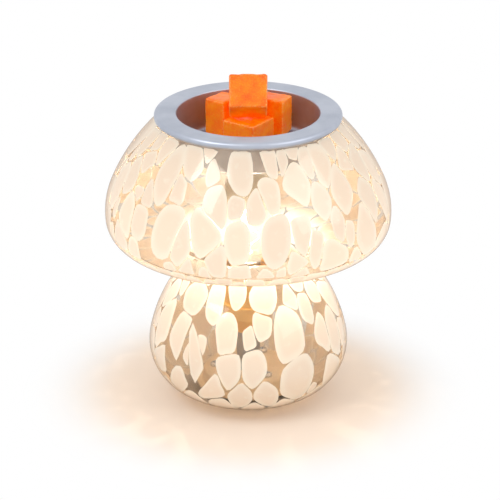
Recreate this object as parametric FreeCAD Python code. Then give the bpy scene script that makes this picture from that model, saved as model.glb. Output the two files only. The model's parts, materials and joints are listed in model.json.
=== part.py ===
import FreeCAD, Part

import math
import os

# Mushroom-shaped glass wax melt warmer, in millimetres, +Z up.
# The origin is the middle of the rest plane, and +Y points to the back, where the cord enters.

# Blown glass body: one piece of base, neck and cap
glass_wall = 2.6
base_radius = 54.2
base_side_round = 30.2
base_shoulder_round = 84.3
base_foot_round = 27.8
base_shoulder_angle = 78.0
base_foot_angle = 107.1
neck_radius = 34.6
neck_round = 12.0
cap_radius = 76.9
cap_equator_rise = 104.1
cap_side_round = 41.7
cap_crown_round = 106.6
cap_lip_round = 14.65
cap_crown_angle = 66.5
cap_lip_angle = 94.8
glass_height = 156.0
bottom_opening_radius = 22.0

# Cord inlet in the back of the glass base
inlet_rise = 23.0
inlet_hole_radius = 4.6
cord_bore_radius = 2.7
grommet_flange_radius = 6.6
grommet_flange = 1.5
grommet_round = 0.6

# Foot ring, bottom cover and gaskets
foot_ring_radius = 26.0
foot_ring_width = 4.5
foot_proud = 1.3
foot_groove = 0.5
foot_round = 0.6
cover_flange = 1.3
cover_radius = 26.6
cover_wall = 1.4
cover_wall_height = 6.0
lower_gasket = 0.4
upper_gasket = 1.0
gasket_width = 3.6
gasket_inset = 0.6

# Pressed plate inside the glass, and its screws
plate_thickness = 1.2
plate_flange_radius = 28.6
plate_top_radius = 24.0
plate_skirt_radius = 24.9
plate_rise = 8.4
plate_bend = 2.4
screw_count = 3
screw_circle_radius = 18.2
screw_first_angle = 64.5
screw_radius = 1.5
screw_length = 10.0
screw_head_radius = 2.8
screw_head_height = 2.0
screw_boss_radius = 3.0

# Threaded tube, nuts and spacer that carry the lampholder
tube_radius = 5.0
tube_bore_radius = 3.6
tube_below_plate = 5.8
tube_into_holder = 5.5
nut_flats = 14.0
nut_height = 3.0
washer_radius = 8.6
washer_thickness = 0.8
spacer_radius = 6.4
holder_rise = 37.0

# Lampholder
holder_radius = 13.2
holder_wall = 0.8
holder_neck_radius = 8.6
holder_cone_height = 9.0
holder_cap_height = 16.0
holder_skirt_height = 22.0
holder_bead = 0.9
holder_bead_height = 2.6
core_height = 25.0
core_floor = 4.6
core_collar_height = 6.5
core_wall = 1.7
thread_liner_wall = 0.4
thread_liner_height = 18.0
tongue_width = 4.0
tongue_thickness = 0.4
tongue_rise = 2.0
terminal_radius = 1.6
terminal_head_radius = 2.6
terminal_head_height = 1.5
terminal_length = 3.0
terminal_place = 7.0

# Tubular lamp bulb with a small screw cap
bulb_radius = 12.5
bulb_length = 80.0
bulb_glass_wall = 0.8
bulb_neck_radius = 6.2
bulb_neck_overlap = 3.0
bulb_shoulder = 7.5
bulb_cap_radius = 6.8
bulb_cap_wall = 0.4
bulb_cap_height = 21.0
contact_radius = 3.2
contact_height = 0.8
insulator_height = 2.7
stem_height = 11.0
stem_radius = 1.6
stem_flare_height = 3.0
filament_rise = 40.0
filament_span = 12.0
filament_sag = 2.5
filament_radius = 0.4
lead_radius = 0.3

# Melting dish
dish_radius = 50.0
dish_lip_radius = 38.2
dish_flange = 4.0
dish_edge_round = 1.8
dish_lip_round = 1.2
dish_depth = 20.0
dish_floor_radius = 36.6
dish_floor_round = 3.0
dish_wall = 2.0
dish_rib_radius = 43.9
dish_rib_width = 2.0
dish_rib_depth = 2.5

# Wax blocks: side, depth and thickness of a block, and how they lie in the dish
wax_side = 20.5
wax_thickness = 13.0
wax_short_side = 15.5
wax_round = 1.3
front_block_corner = (2.7, -6.5)
front_block_turn = 55.0
left_block_corner = (-13.2, 11.0)
left_block_turn = 53.0
right_block_corner = (18.7, 12.6)
right_block_turn = 66.0
top_block_edge = 7.7
top_block_lean = 47.5

# Clearances and one overrun for every cut
seat_gap = 0.3
fit_gap = 0.05
loose_gap = 0.5
cut_over = 1.0

# Heights that follow from the sizes above
cover_bottom = foot_proud
cover_top = cover_bottom + cover_flange
glass_bottom = cover_top + lower_gasket
glass_floor = glass_bottom + glass_wall
plate_bottom = glass_floor + upper_gasket
plate_top = plate_bottom + plate_rise
plate_under = plate_top - plate_thickness
glass_top = glass_bottom + glass_height
dish_top = glass_top + dish_flange
dish_floor = dish_top - dish_depth
washer_top = plate_top + washer_thickness
upper_nut_top = washer_top + nut_height
holder_joint = holder_rise + holder_cap_height
holder_top = holder_joint + holder_skirt_height
core_bottom = holder_rise + holder_cone_height
core_top = core_bottom + core_height
core_well = core_bottom + core_floor
tongue_top = core_well + tongue_rise
bulb_bottom = tongue_top + seat_gap
insulator_bottom = bulb_bottom + contact_height
bulb_cap_bottom = insulator_bottom + insulator_height
bulb_cap_top = bulb_cap_bottom + bulb_cap_height
bulb_neck_bottom = bulb_cap_top - bulb_neck_overlap
bulb_top = bulb_bottom + bulb_length
filament_height = bulb_bottom + filament_rise

Vector = FreeCAD.Vector
UP = Vector(0, 0, 1)
ORIGIN = Vector(0, 0, 0)


def save(name, shape):
    """Write one sub-part to its own STEP file, and print how many solids it has."""
    shape.exportStep(os.path.join("parts", name + ".step"))
    print(f"{name}: {len(shape.Solids)} solid(s), volume {shape.Volume:.1f} mm3")


def at(radius, height):
    """Point of a half section: distance from the axis and height above the table."""
    return Vector(radius, 0, height)


def normal(angle):
    """Unit direction in the half section that leans `angle` degrees outward from straight up."""
    return at(math.sin(math.radians(angle)), math.cos(math.radians(angle)))


def arc(centre, radius, start, end):
    """Round edge about `centre`, from one normal angle to another. A negative radius is hollow."""
    points = [centre + normal(angle) * radius for angle in (start, (start + end) / 2, end)]
    return Part.Arc(*points).toShape()


def spin(edges):
    """Solid of revolution about the axis from the edges of one closed half section."""
    wire = Part.Wire(Part.__sortEdges__(edges))
    return Part.Face(wire).revolve(ORIGIN, UP, 360)


def rounded_edges(corners):
    """Edges of a closed outline through (radius, height, rounding) corners, with tangent arcs."""
    places = [at(radius, height) for radius, height, _ in corners]
    edges = []
    ends = []
    for index, (_, _, rounding) in enumerate(corners):
        here = places[index]
        if not rounding:
            ends.append((here, here))
            continue
        back = (places[index - 1] - here).normalize()
        ahead = (places[(index + 1) % len(places)] - here).normalize()
        half = back.getAngle(ahead) / 2
        middle = (back + ahead).normalize()
        first = here + back * (rounding / math.tan(half))
        last = here + ahead * (rounding / math.tan(half))
        crest = here + middle * (rounding / math.sin(half) - rounding)
        edges.append(Part.Arc(first, crest, last).toShape())
        ends.append((first, last))
    for index, (first, _) in enumerate(ends):
        edges.append(Part.LineSegment(ends[index - 1][1], first).toShape())
    return edges


def turned(corners):
    """Solid of revolution from a half section with rounded corners."""
    return spin(rounded_edges(corners))


def ring(inner, outer, bottom, top, rounding=0):
    """Turned ring with a rectangular section, its corners rounded if wished."""
    places = ((inner, bottom), (outer, bottom), (outer, top), (inner, top))
    return turned([(radius, height, rounding) for radius, height in places])


def cylinder(radius, bottom, top, centre=ORIGIN):
    """Upright cylinder between two heights."""
    return Part.makeCylinder(radius, top - bottom, Vector(centre.x, centre.y, bottom), UP)


def rod(start, end, radius):
    """Straight round wire between two points."""
    along = end - start
    return Part.makeCylinder(radius, along.Length, start, along)


def on_circle(radius, count, first_angle):
    """Evenly spaced places on a circle about the axis."""
    angles = [math.radians(first_angle + 360 * index / count) for index in range(count)]
    return [Vector(radius * math.cos(angle), radius * math.sin(angle), 0) for angle in angles]


def screw_places():
    """Places of the screws that join the inner plate to the bottom cover."""
    return on_circle(screw_circle_radius, screw_count, screw_first_angle)


def tangent_centre(centre, radius, next_radius, angle):
    """Centre of the arc that carries on from another one at a shared normal."""
    return centre + normal(angle) * (radius - next_radius)


def base_arcs():
    """Base of the mushroom as (centre, radius) of its foot, side and shoulder arcs."""
    side = at(base_radius - base_side_round, 0)
    foot = tangent_centre(side, base_side_round, base_foot_round, base_foot_angle)
    lift = Vector(0, 0, glass_bottom + base_foot_round - foot.z)
    shoulder = tangent_centre(side, base_side_round, base_shoulder_round, base_shoulder_angle)
    radii = (base_foot_round, base_side_round, base_shoulder_round)
    return [(centre + lift, radius) for centre, radius in zip((foot, side, shoulder), radii)]


def cap_arcs():
    """Cap of the mushroom as (centre, radius) of its lip, side and crown arcs."""
    side = at(cap_radius - cap_side_round, glass_bottom + cap_equator_rise)
    lip = tangent_centre(side, cap_side_round, cap_lip_round, cap_lip_angle)
    crown = tangent_centre(side, cap_side_round, cap_crown_round, cap_crown_angle)
    return [(lip, cap_lip_round), (side, cap_side_round), (crown, cap_crown_round)]


def neck_centre():
    """Centre of the hollow neck arc, which touches the base's shoulder arc."""
    shoulder, radius = base_arcs()[2]
    across = neck_radius + neck_round - shoulder.x
    return at(neck_radius + neck_round, shoulder.z + math.sqrt((radius + neck_round) ** 2 - across ** 2))


def underside_angle():
    """Normal angle of the straight underside between the neck arc and the cap's lip arc."""
    reach = cap_arcs()[0][0] - neck_centre()
    spread = math.acos(-(cap_lip_round + neck_round) / reach.Length)
    return math.degrees(math.atan2(reach.x, reach.z) + spread)


def glass_line(inset):
    """Edges of the glass from its floor to its rim, set in by a distance from the outer face."""
    (foot, foot_radius), (side, side_radius), (shoulder, shoulder_radius) = base_arcs()
    (lip, lip_radius), (brim, brim_radius), (crown, crown_radius) = cap_arcs()
    neck = neck_centre()
    rise = neck - shoulder
    neck_angle = math.degrees(math.atan2(rise.x, rise.z))
    under_angle = underside_angle()
    rim_angle = math.degrees(math.acos((glass_top - crown.z) / (crown_radius - inset)))
    hollow = -(neck_round + inset)
    under = normal(under_angle)
    return [
        arc(foot, foot_radius - inset, 180, base_foot_angle),
        arc(side, side_radius - inset, base_foot_angle, base_shoulder_angle),
        arc(shoulder, shoulder_radius - inset, base_shoulder_angle, neck_angle),
        arc(neck, hollow, neck_angle, under_angle),
        Part.LineSegment(neck + under * hollow, lip + under * (lip_radius - inset)).toShape(),
        arc(lip, lip_radius - inset, under_angle, cap_lip_angle),
        arc(brim, brim_radius - inset, cap_lip_angle, cap_crown_angle),
        arc(crown, crown_radius - inset, cap_crown_angle, rim_angle),
    ]


def rim_radius(inset):
    """Radius of the ground rim at the top of the glass."""
    crown, crown_radius = cap_arcs()[2]
    return crown.x + math.sqrt((crown_radius - inset) ** 2 - (glass_top - crown.z) ** 2)


def inlet_frame():
    """Place and outward direction of the cord inlet, square to the glass at the back."""
    side, side_radius = base_arcs()[1]
    drop = (inlet_rise - side.z) / side_radius
    tilt = math.degrees(math.acos(drop))
    spot = side + normal(tilt) * side_radius
    out = normal(tilt)
    return Vector(0, spot.x, spot.z), Vector(0, out.x, out.z)


def make_glass_body():
    """Blown shell of eight tangent stretches, open at the rim and drilled at floor and back."""
    foot_x = base_arcs()[0][0].x
    corners = [at(foot_x, glass_floor), at(bottom_opening_radius, glass_floor),
               at(bottom_opening_radius, glass_bottom), at(foot_x, glass_bottom)]
    edges = glass_line(0) + glass_line(glass_wall)
    edges += [Part.LineSegment(a, b).toShape() for a, b in zip(corners, corners[1:])]
    rim = (at(rim_radius(glass_wall), glass_top), at(rim_radius(0), glass_top))
    edges.append(Part.LineSegment(*rim).toShape())
    shell = spin(edges)
    spot, out = inlet_frame()
    depth = glass_wall + 2 * cut_over
    return shell.cut(Part.makeCylinder(inlet_hole_radius, depth, spot + out * cut_over, -out))


def make_cord_grommet():
    """Soft bush with a flange on each face of the glass; its bore takes the cord."""
    hollow = base_foot_round - glass_wall
    sag = hollow - math.sqrt(hollow ** 2 - grommet_flange_radius ** 2)
    inner_seat = -glass_wall - sag - fit_gap
    outer_seat = fit_gap
    body = inlet_hole_radius - fit_gap
    bush = turned([
        (cord_bore_radius, inner_seat - grommet_flange, grommet_round),
        (grommet_flange_radius, inner_seat - grommet_flange, grommet_round),
        (grommet_flange_radius, inner_seat, 0),
        (body, inner_seat, 0),
        (body, outer_seat, 0),
        (grommet_flange_radius, outer_seat, 0),
        (grommet_flange_radius, outer_seat + grommet_flange, grommet_round),
        (cord_bore_radius, outer_seat + grommet_flange, grommet_round),
    ])
    spot, out = inlet_frame()
    bush.Placement = FreeCAD.Placement(spot, FreeCAD.Rotation(UP, out))
    return bush


def make_foot_ring():
    """Soft ring that the warmer stands on, let into the bottom cover."""
    inner = foot_ring_radius - foot_ring_width
    return ring(inner, foot_ring_radius, 0, cover_bottom + foot_groove, foot_round)


def make_bottom_cover():
    """Moulded cover: flange below the glass, locating wall in its opening and screw bosses."""
    wall_radius = bottom_opening_radius - loose_gap
    plate = cylinder(cover_radius, cover_bottom, cover_top)
    wall = ring(wall_radius - cover_wall, wall_radius, cover_bottom, cover_top + cover_wall_height)
    cover = plate.fuse(wall)
    groove = (foot_ring_radius - foot_ring_width - fit_gap, foot_ring_radius + fit_gap)
    cover = cover.cut(ring(*groove, cover_bottom - cut_over, cover_bottom + foot_groove))
    for place in screw_places():
        cover = cover.fuse(cylinder(screw_boss_radius, cover_bottom, plate_under, place))
    for place in screw_places():
        pilot_bottom = plate_top - screw_length - loose_gap
        cover = cover.cut(cylinder(screw_radius + fit_gap, pilot_bottom, plate_top, place))
    return cover.removeSplitter()


def make_lower_gasket():
    """Thin washer between the cover's flange and the glass."""
    inner = bottom_opening_radius
    return ring(inner, inner + gasket_width, cover_top, glass_bottom)


def make_upper_gasket():
    """Washer between the glass floor and the inner plate's flange."""
    inner = bottom_opening_radius + gasket_inset
    return ring(inner, inner + gasket_width, glass_floor, plate_bottom)


def make_inner_plate():
    """Pressed plate: raised flat middle, sloping skirt and seating flange, with its holes."""
    hole = tube_radius + fit_gap
    skirt_inner = plate_skirt_radius - plate_thickness
    plate = turned([
        (hole, plate_under, 0),
        (plate_top_radius - plate_thickness, plate_under, plate_bend - plate_thickness),
        (skirt_inner, plate_bottom, plate_bend),
        (plate_flange_radius, plate_bottom, 0),
        (plate_flange_radius, plate_bottom + plate_thickness, 0),
        (plate_skirt_radius, plate_bottom + plate_thickness, plate_bend - plate_thickness),
        (plate_top_radius, plate_top, plate_bend),
        (hole, plate_top, 0),
    ])
    for place in screw_places():
        over = (plate_under - cut_over, plate_top + cut_over)
        plate = plate.cut(cylinder(screw_radius + fit_gap, *over, place))
    return plate


def cross_recess(place):
    """Cross-shaped sink in the top of a screw head."""
    width_share, reach_share, depth_share = 0.24, 1.1, 0.5
    width = screw_head_radius * width_share
    reach = screw_head_radius * reach_share
    depth = screw_head_height * depth_share
    floor = plate_top + screw_head_height - depth
    bars = []
    for size in ((reach, width), (width, reach)):
        corner = Vector(place.x - size[0] / 2, place.y - size[1] / 2, floor)
        bars.append(Part.makeBox(size[0], size[1], depth + cut_over, corner))
    return bars[0].fuse(bars[1])


def make_plate_screws():
    """Pan-head screws with a cross recess, driven down into the cover's bosses."""
    head_round_share = 0.6
    head_top = plate_top + screw_head_height
    screws = []
    for place in screw_places():
        screw = turned([
            (0, plate_top - screw_length, 0),
            (screw_radius, plate_top - screw_length, 0),
            (screw_radius, plate_top, 0),
            (screw_head_radius, plate_top, 0),
            (screw_head_radius, head_top, screw_head_height * head_round_share),
            (0, head_top, 0),
        ])
        screw.translate(place)
        screws.append(screw.cut(cross_recess(place)))
    return Part.makeCompound(screws)


def make_threaded_tube():
    """Hollow tube that holds the lampholder and leads the wires up into it."""
    bottom = plate_under - tube_below_plate
    return ring(tube_bore_radius, tube_radius, bottom, holder_rise + tube_into_holder)


def make_nut(bottom):
    """Hexagon nut on the threaded tube, its corners turned off."""
    corner_radius = nut_flats / math.sqrt(3)
    corners = on_circle(corner_radius, 6, 30)
    outline = Part.makePolygon([corner + UP * bottom for corner in corners + corners[:1]])
    nut = Part.Face(outline).extrude(UP * nut_height)
    chamfer = corner_radius - nut_flats / 2
    blank = turned([
        (tube_radius + fit_gap, bottom, 0),
        (corner_radius - chamfer, bottom, 0),
        (corner_radius, bottom + chamfer / 2, 0),
        (corner_radius, bottom + nut_height - chamfer / 2, 0),
        (corner_radius - chamfer, bottom + nut_height, 0),
        (tube_radius + fit_gap, bottom + nut_height, 0),
    ])
    return nut.common(blank)


def make_washer():
    """Plain washer under the upper nut."""
    return ring(tube_radius + fit_gap, washer_radius, plate_top, washer_top)


def make_spacer():
    """Plain sleeve round the threaded tube, from the upper nut to the lampholder."""
    return ring(tube_radius + fit_gap, spacer_radius, upper_nut_top, holder_rise)


def make_holder_cap():
    """Lower shell of the lampholder: a flared cup with a hole for the threaded tube."""
    hole = tube_radius + fit_gap
    inner = holder_radius - holder_wall - fit_gap - holder_wall
    outer = inner + holder_wall
    bend = 2 * holder_wall
    return turned([
        (hole, holder_rise, 0),
        (holder_neck_radius, holder_rise, bend),
        (outer, core_bottom, bend),
        (outer, holder_joint, 0),
        (inner, holder_joint, 0),
        (inner, core_bottom, bend),
        (holder_neck_radius - holder_wall, holder_rise + holder_wall, holder_wall),
        (hole, holder_rise + holder_wall, 0),
    ])


def make_holder_skirt():
    """Upper shell of the lampholder, slipped over the lower one, with a bead at the joint."""
    inner = holder_radius - holder_wall
    bottom = holder_joint - 2 * holder_bead_height
    bead_bottom = holder_joint - holder_bead_height / 2
    bead_top = bead_bottom + holder_bead_height
    bead_radius = holder_radius + holder_bead
    return turned([
        (inner, bottom, 0),
        (holder_radius, bottom, 0),
        (holder_radius, bead_bottom, 0),
        (bead_radius, bead_bottom, holder_bead / 2),
        (bead_radius, bead_top, holder_bead / 2),
        (holder_radius, bead_top, 0),
        (holder_radius, holder_top, holder_wall / 2),
        (inner, holder_top, 0),
    ])


def liner_radius():
    """Inner radius of the threaded liner, which lets the bulb's cap turn in it."""
    return bulb_cap_radius + seat_gap


def terminal_places():
    """Places of the two wire terminals under the core."""
    return on_circle(terminal_place, 2, 0)


def make_holder_core():
    """Insulating core: wide collar below, thin wall round the threaded liner, terminal holes."""
    collar = holder_radius - 2 * holder_wall - 2 * seat_gap
    well = liner_radius() + thread_liner_wall + fit_gap
    wall = well + core_wall
    core = turned([
        (0, core_bottom, 0),
        (collar, core_bottom, 0),
        (collar, core_bottom + core_collar_height, 0),
        (wall, core_bottom + core_collar_height, 0),
        (wall, core_top, core_wall / 3),
        (well, core_top, 0),
        (well, core_well, 0),
        (0, core_well, 0),
    ])
    for place in terminal_places():
        hole = (core_bottom - cut_over, core_bottom + terminal_length + fit_gap)
        core = core.cut(cylinder(terminal_radius + fit_gap, *hole, place))
    return core


def make_thread_liner():
    """Thin liner that the bulb screws into, with a turned-in foot on the core's floor."""
    inner = liner_radius()
    outer = inner + thread_liner_wall
    foot = tongue_width + thread_liner_wall
    return turned([
        (foot, core_well, 0),
        (outer, core_well, 0),
        (outer, core_well + thread_liner_height, 0),
        (inner, core_well + thread_liner_height, 0),
        (inner, core_well + thread_liner_wall, 0),
        (foot, core_well + thread_liner_wall, 0),
    ])


def make_contact_tongue():
    """Arched spring strip under the bulb's centre contact."""
    half = tongue_width - seat_gap
    outer = Part.Arc(at(-half, core_well), at(0, tongue_top), at(half, core_well)).toShape()
    under_half = half - tongue_thickness
    under_top = tongue_top - tongue_thickness
    under = Part.Arc(at(-under_half, core_well), at(0, under_top), at(under_half, core_well)).toShape()
    feet = [Part.LineSegment(at(side * half, core_well), at(side * under_half, core_well)).toShape()
            for side in (-1, 1)]
    face = Part.Face(Part.Wire(Part.__sortEdges__([outer, under] + feet)))
    strip = face.extrude(Vector(0, tongue_width, 0))
    strip.translate(Vector(0, -tongue_width / 2, 0))
    return strip


def make_terminal_screws():
    """Two small screws that clamp the wires under the core."""
    head_bottom = core_bottom - terminal_head_height
    screws = []
    for place in terminal_places():
        head = cylinder(terminal_head_radius, head_bottom, core_bottom, place)
        shank = cylinder(terminal_radius, core_bottom, core_bottom + terminal_length, place)
        screws.append(head.fuse(shank))
    return Part.makeCompound(screws)


def make_bulb_cap():
    """Screw cap of the bulb: a thin cup drawn in at its foot."""
    inner = bulb_cap_radius - bulb_cap_wall
    return turned([
        (contact_radius + bulb_cap_wall, bulb_cap_bottom, 0),
        (bulb_cap_radius, bulb_cap_bottom, 2 * bulb_cap_wall),
        (bulb_cap_radius, bulb_cap_top, 0),
        (inner, bulb_cap_top, 0),
        (inner, bulb_cap_bottom + bulb_cap_wall, bulb_cap_wall),
        (contact_radius + bulb_cap_wall, bulb_cap_bottom + bulb_cap_wall, 0),
    ])


def make_bulb_insulator():
    """Dark cone between the cap and the centre contact."""
    top_share = 0.9
    return turned([
        (0, insulator_bottom, 0),
        (contact_radius, insulator_bottom, 0),
        (bulb_cap_radius * top_share, bulb_cap_bottom, 0),
        (0, bulb_cap_bottom, 0),
    ])


def make_bulb_contact():
    """Centre contact of the bulb, slightly domed below."""
    return turned([
        (0, bulb_bottom, 0),
        (contact_radius, bulb_bottom, contact_height / 2),
        (contact_radius, insulator_bottom, 0),
        (0, insulator_bottom, 0),
    ])


def bulb_line(inset):
    """Edges of the bulb's envelope from its neck to its tip, set in from the outer face."""
    neck = bulb_neck_radius - inset
    body = bulb_radius - inset
    shoulder_bottom = bulb_cap_top
    shoulder_top = shoulder_bottom + bulb_shoulder
    dome_bottom = bulb_top - bulb_radius
    middle = at((neck + body) / 2, (shoulder_bottom + shoulder_top) / 2)
    slope = math.atan2(body - neck, shoulder_top - shoulder_bottom)
    bow = normal(math.degrees(slope) - 90) * (bulb_shoulder / 16)
    lower = at(neck + (body - neck) / 4, shoulder_bottom + bulb_shoulder / 4) - bow
    upper = at(neck + 3 * (body - neck) / 4, shoulder_bottom + 3 * bulb_shoulder / 4) + bow
    return [
        Part.LineSegment(at(neck, bulb_neck_bottom), at(neck, shoulder_bottom)).toShape(),
        Part.Arc(at(neck, shoulder_bottom), lower, middle).toShape(),
        Part.Arc(middle, upper, at(body, shoulder_top)).toShape(),
        Part.LineSegment(at(body, shoulder_top), at(body, dome_bottom)).toShape(),
        arc(at(0, dome_bottom), body, 90, 0),
    ]


def make_bulb_glass():
    """Thin tubular envelope of the bulb with a domed tip."""
    inset = bulb_glass_wall
    edges = bulb_line(0) + bulb_line(inset)
    lip = (at(bulb_neck_radius - inset, bulb_neck_bottom), at(bulb_neck_radius, bulb_neck_bottom))
    tip = (at(0, bulb_top - inset), at(0, bulb_top))
    edges += [Part.LineSegment(*lip).toShape(), Part.LineSegment(*tip).toShape()]
    return spin(edges)


def stem_top():
    """Height of the glass stem's tip inside the bulb."""
    return bulb_neck_bottom + stem_height


def make_bulb_stem():
    """Glass stem inside the bulb: a flare sealed in the neck and a slim rod."""
    flare = bulb_neck_radius - bulb_glass_wall - fit_gap
    return turned([
        (0, bulb_neck_bottom, 0),
        (flare, bulb_neck_bottom, 0),
        (stem_radius, bulb_neck_bottom + stem_flare_height, stem_radius),
        (stem_radius, stem_top(), stem_radius / 2),
        (0, stem_top(), 0),
    ])


def make_bulb_leads():
    """Two lead wires and one middle support, from the stem to the filament."""
    foot_share = 0.5
    reach = filament_span / 2
    below = filament_radius + fit_gap
    leads = []
    for side in (-1, 1):
        foot = at(side * stem_radius * foot_share, stem_top() + lead_radius)
        knee = at(side * reach, filament_height - filament_sag)
        leads.append(rod(foot, knee, lead_radius).fuse(
            rod(knee, at(side * reach, filament_height - below), lead_radius)))
        leads[-1] = leads[-1].fuse(Part.makeSphere(lead_radius, knee))
    crest = filament_height + filament_sag - below
    leads.append(rod(at(0, stem_top()), at(0, crest), lead_radius))
    return Part.makeCompound(leads)


def make_bulb_filament():
    """Filament as one bowed wire between the tips of the leads."""
    reach = filament_span / 2
    ends = (at(-reach, filament_height), at(reach, filament_height))
    path = Part.Arc(ends[0], at(0, filament_height + filament_sag), ends[1])
    start = path.value(path.FirstParameter)
    along = path.tangent(path.FirstParameter)[0]
    section = Part.Wire(Part.makeCircle(filament_radius, start, along))
    return Part.Wire(path.toShape()).makePipe(Part.Face(section))


def make_melting_dish():
    """Turned dish: wide flat flange, steep bowl and a rib that centres it in the glass rim."""
    under_flange = dish_top - dish_flange
    rib_inner = dish_rib_radius - dish_rib_width
    rib_bottom = under_flange - dish_rib_depth
    bowl_bottom = dish_floor - dish_wall
    return turned([
        (0, dish_floor, 0),
        (dish_floor_radius, dish_floor, dish_floor_round),
        (dish_lip_radius, dish_top, dish_lip_round),
        (dish_radius, dish_top, dish_edge_round),
        (dish_radius, under_flange, dish_edge_round),
        (dish_rib_radius, under_flange, 0),
        (dish_rib_radius, rib_bottom, dish_rib_width / 4),
        (rib_inner, rib_bottom, dish_rib_width / 4),
        (rib_inner, under_flange, 0),
        (dish_lip_radius + dish_wall, under_flange, dish_wall / 2),
        (dish_floor_radius + dish_wall, bowl_bottom, dish_floor_round + dish_wall),
        (0, bowl_bottom, 0),
    ])


def soft_block(width, depth, height):
    """Block with every edge rounded, its first corner at the origin."""
    block = Part.makeBox(width, depth, height)
    return block.makeFillet(wax_round, block.Edges)


def standing_block(width, depth, height, corner, turn):
    """Wax block set down in the dish with its near corner and its turn about the upright."""
    block = soft_block(width, depth, height)
    block.rotate(ORIGIN, UP, turn)
    block.translate(Vector(corner[0], corner[1], dish_floor + seat_gap))
    return block


def make_wax_front():
    """Block that lies flat at the front."""
    return standing_block(wax_side, wax_side, wax_thickness, front_block_corner, front_block_turn)


def make_wax_left():
    """Block that stands on edge at the left."""
    return standing_block(wax_short_side, wax_thickness, wax_side, left_block_corner, left_block_turn)


def make_wax_right():
    """Block that stands on edge at the right."""
    return standing_block(wax_thickness, wax_side, wax_side, right_block_corner, right_block_turn)


def make_wax_top():
    """Block that rests on the front one and leans back on the other two."""
    block = soft_block(wax_side, wax_thickness, wax_side)
    block.translate(Vector(-wax_side / 2, -wax_thickness, 0))
    block.rotate(ORIGIN, Vector(1, 0, 0), -top_block_lean)
    corner_rise = wax_round * (math.sqrt(2) - 1)
    seat = dish_floor + 2 * seat_gap + wax_thickness - corner_rise
    block.translate(Vector(0, top_block_edge, seat))
    return block


def build():
    """Make and save every sub-part."""
    os.makedirs("parts", exist_ok=True)
    save("glass_body", make_glass_body())
    save("cord_grommet", make_cord_grommet())
    save("foot_ring", make_foot_ring())
    save("bottom_cover", make_bottom_cover())
    save("lower_gasket", make_lower_gasket())
    save("upper_gasket", make_upper_gasket())
    save("inner_plate", make_inner_plate())
    save("plate_screws", make_plate_screws())
    save("threaded_tube", make_threaded_tube())
    save("lower_nut", make_nut(plate_under - nut_height))
    save("upper_nut", make_nut(washer_top))
    save("nut_washer", make_washer())
    save("holder_spacer", make_spacer())
    save("holder_cap", make_holder_cap())
    save("holder_skirt", make_holder_skirt())
    save("holder_core", make_holder_core())
    save("thread_liner", make_thread_liner())
    save("contact_tongue", make_contact_tongue())
    save("terminal_screws", make_terminal_screws())
    save("bulb_glass", make_bulb_glass())
    save("bulb_cap", make_bulb_cap())
    save("bulb_insulator", make_bulb_insulator())
    save("bulb_contact", make_bulb_contact())
    save("bulb_stem", make_bulb_stem())
    save("bulb_leads", make_bulb_leads())
    save("bulb_filament", make_bulb_filament())
    save("melting_dish", make_melting_dish())
    save("wax_front", make_wax_front())
    save("wax_left", make_wax_left())
    save("wax_right", make_wax_right())
    save("wax_top", make_wax_top())


build()
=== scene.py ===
"""Mushroom-shaped glass wax melt warmer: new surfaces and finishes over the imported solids.

Sizes in the classes are millimetres, but for those that say metres or pixels. A mesh is put
into the scene in metres.
"""

import json
import logging
import math
from dataclasses import dataclass, field
from enum import Enum
from typing import Any, NamedTuple

import bpy
import numpy as np
from mathutils import Matrix, Vector

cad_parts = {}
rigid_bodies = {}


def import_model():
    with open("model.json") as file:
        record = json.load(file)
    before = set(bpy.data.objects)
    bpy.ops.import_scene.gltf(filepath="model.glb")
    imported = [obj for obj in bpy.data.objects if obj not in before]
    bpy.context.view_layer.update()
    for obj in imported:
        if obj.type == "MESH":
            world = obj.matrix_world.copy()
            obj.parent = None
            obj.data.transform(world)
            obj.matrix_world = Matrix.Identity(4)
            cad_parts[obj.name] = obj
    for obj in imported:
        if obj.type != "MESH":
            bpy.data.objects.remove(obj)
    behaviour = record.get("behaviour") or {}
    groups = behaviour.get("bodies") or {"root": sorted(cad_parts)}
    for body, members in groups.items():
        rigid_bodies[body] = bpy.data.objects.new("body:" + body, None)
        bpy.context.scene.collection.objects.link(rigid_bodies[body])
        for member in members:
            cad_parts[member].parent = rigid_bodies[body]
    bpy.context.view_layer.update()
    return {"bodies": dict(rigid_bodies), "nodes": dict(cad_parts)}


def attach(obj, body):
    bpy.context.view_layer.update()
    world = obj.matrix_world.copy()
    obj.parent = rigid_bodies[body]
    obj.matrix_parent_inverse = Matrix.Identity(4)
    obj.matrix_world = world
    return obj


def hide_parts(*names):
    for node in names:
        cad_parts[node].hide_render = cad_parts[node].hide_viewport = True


log = logging.getLogger("wax_melt_warmer")

Array = np.ndarray
Colour = tuple[float, float, float, float]
Row = tuple[float, ...]
Range = tuple[float, float]
Piece = bpy.types.Object
Material = bpy.types.Material
Tree = bpy.types.NodeTree
Socket = bpy.types.NodeSocket

METRES = 0.001
FULL_TURN = 2 * math.pi


@dataclass(frozen=True)
class Surface:
    """Points in millimetres and the faces between them, wound so that they face outward."""

    points: Array
    quads: Array = field(default_factory=lambda: np.zeros((0, 4), dtype=np.int64))
    tris: Array = field(default_factory=lambda: np.zeros((0, 3), dtype=np.int64))

    def mapped(self, points: Array) -> "Surface":
        """Return the same faces between other points."""
        return Surface(points, self.quads, self.tris)


def joined(parts: list[Surface]) -> Surface:
    """Put several surfaces into one, each with its own points.

    Args:
        parts: The surfaces, in any order.

    Returns:
        One surface whose point numbers run on from part to part.
    """
    starts = np.cumsum([0] + [len(part.points) for part in parts[:-1]])
    return Surface(
        np.concatenate([part.points for part in parts]),
        np.concatenate([part.quads + start for part, start in zip(parts, starts)]),
        np.concatenate([part.tris + start for part, start in zip(parts, starts)]),
    )


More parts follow.
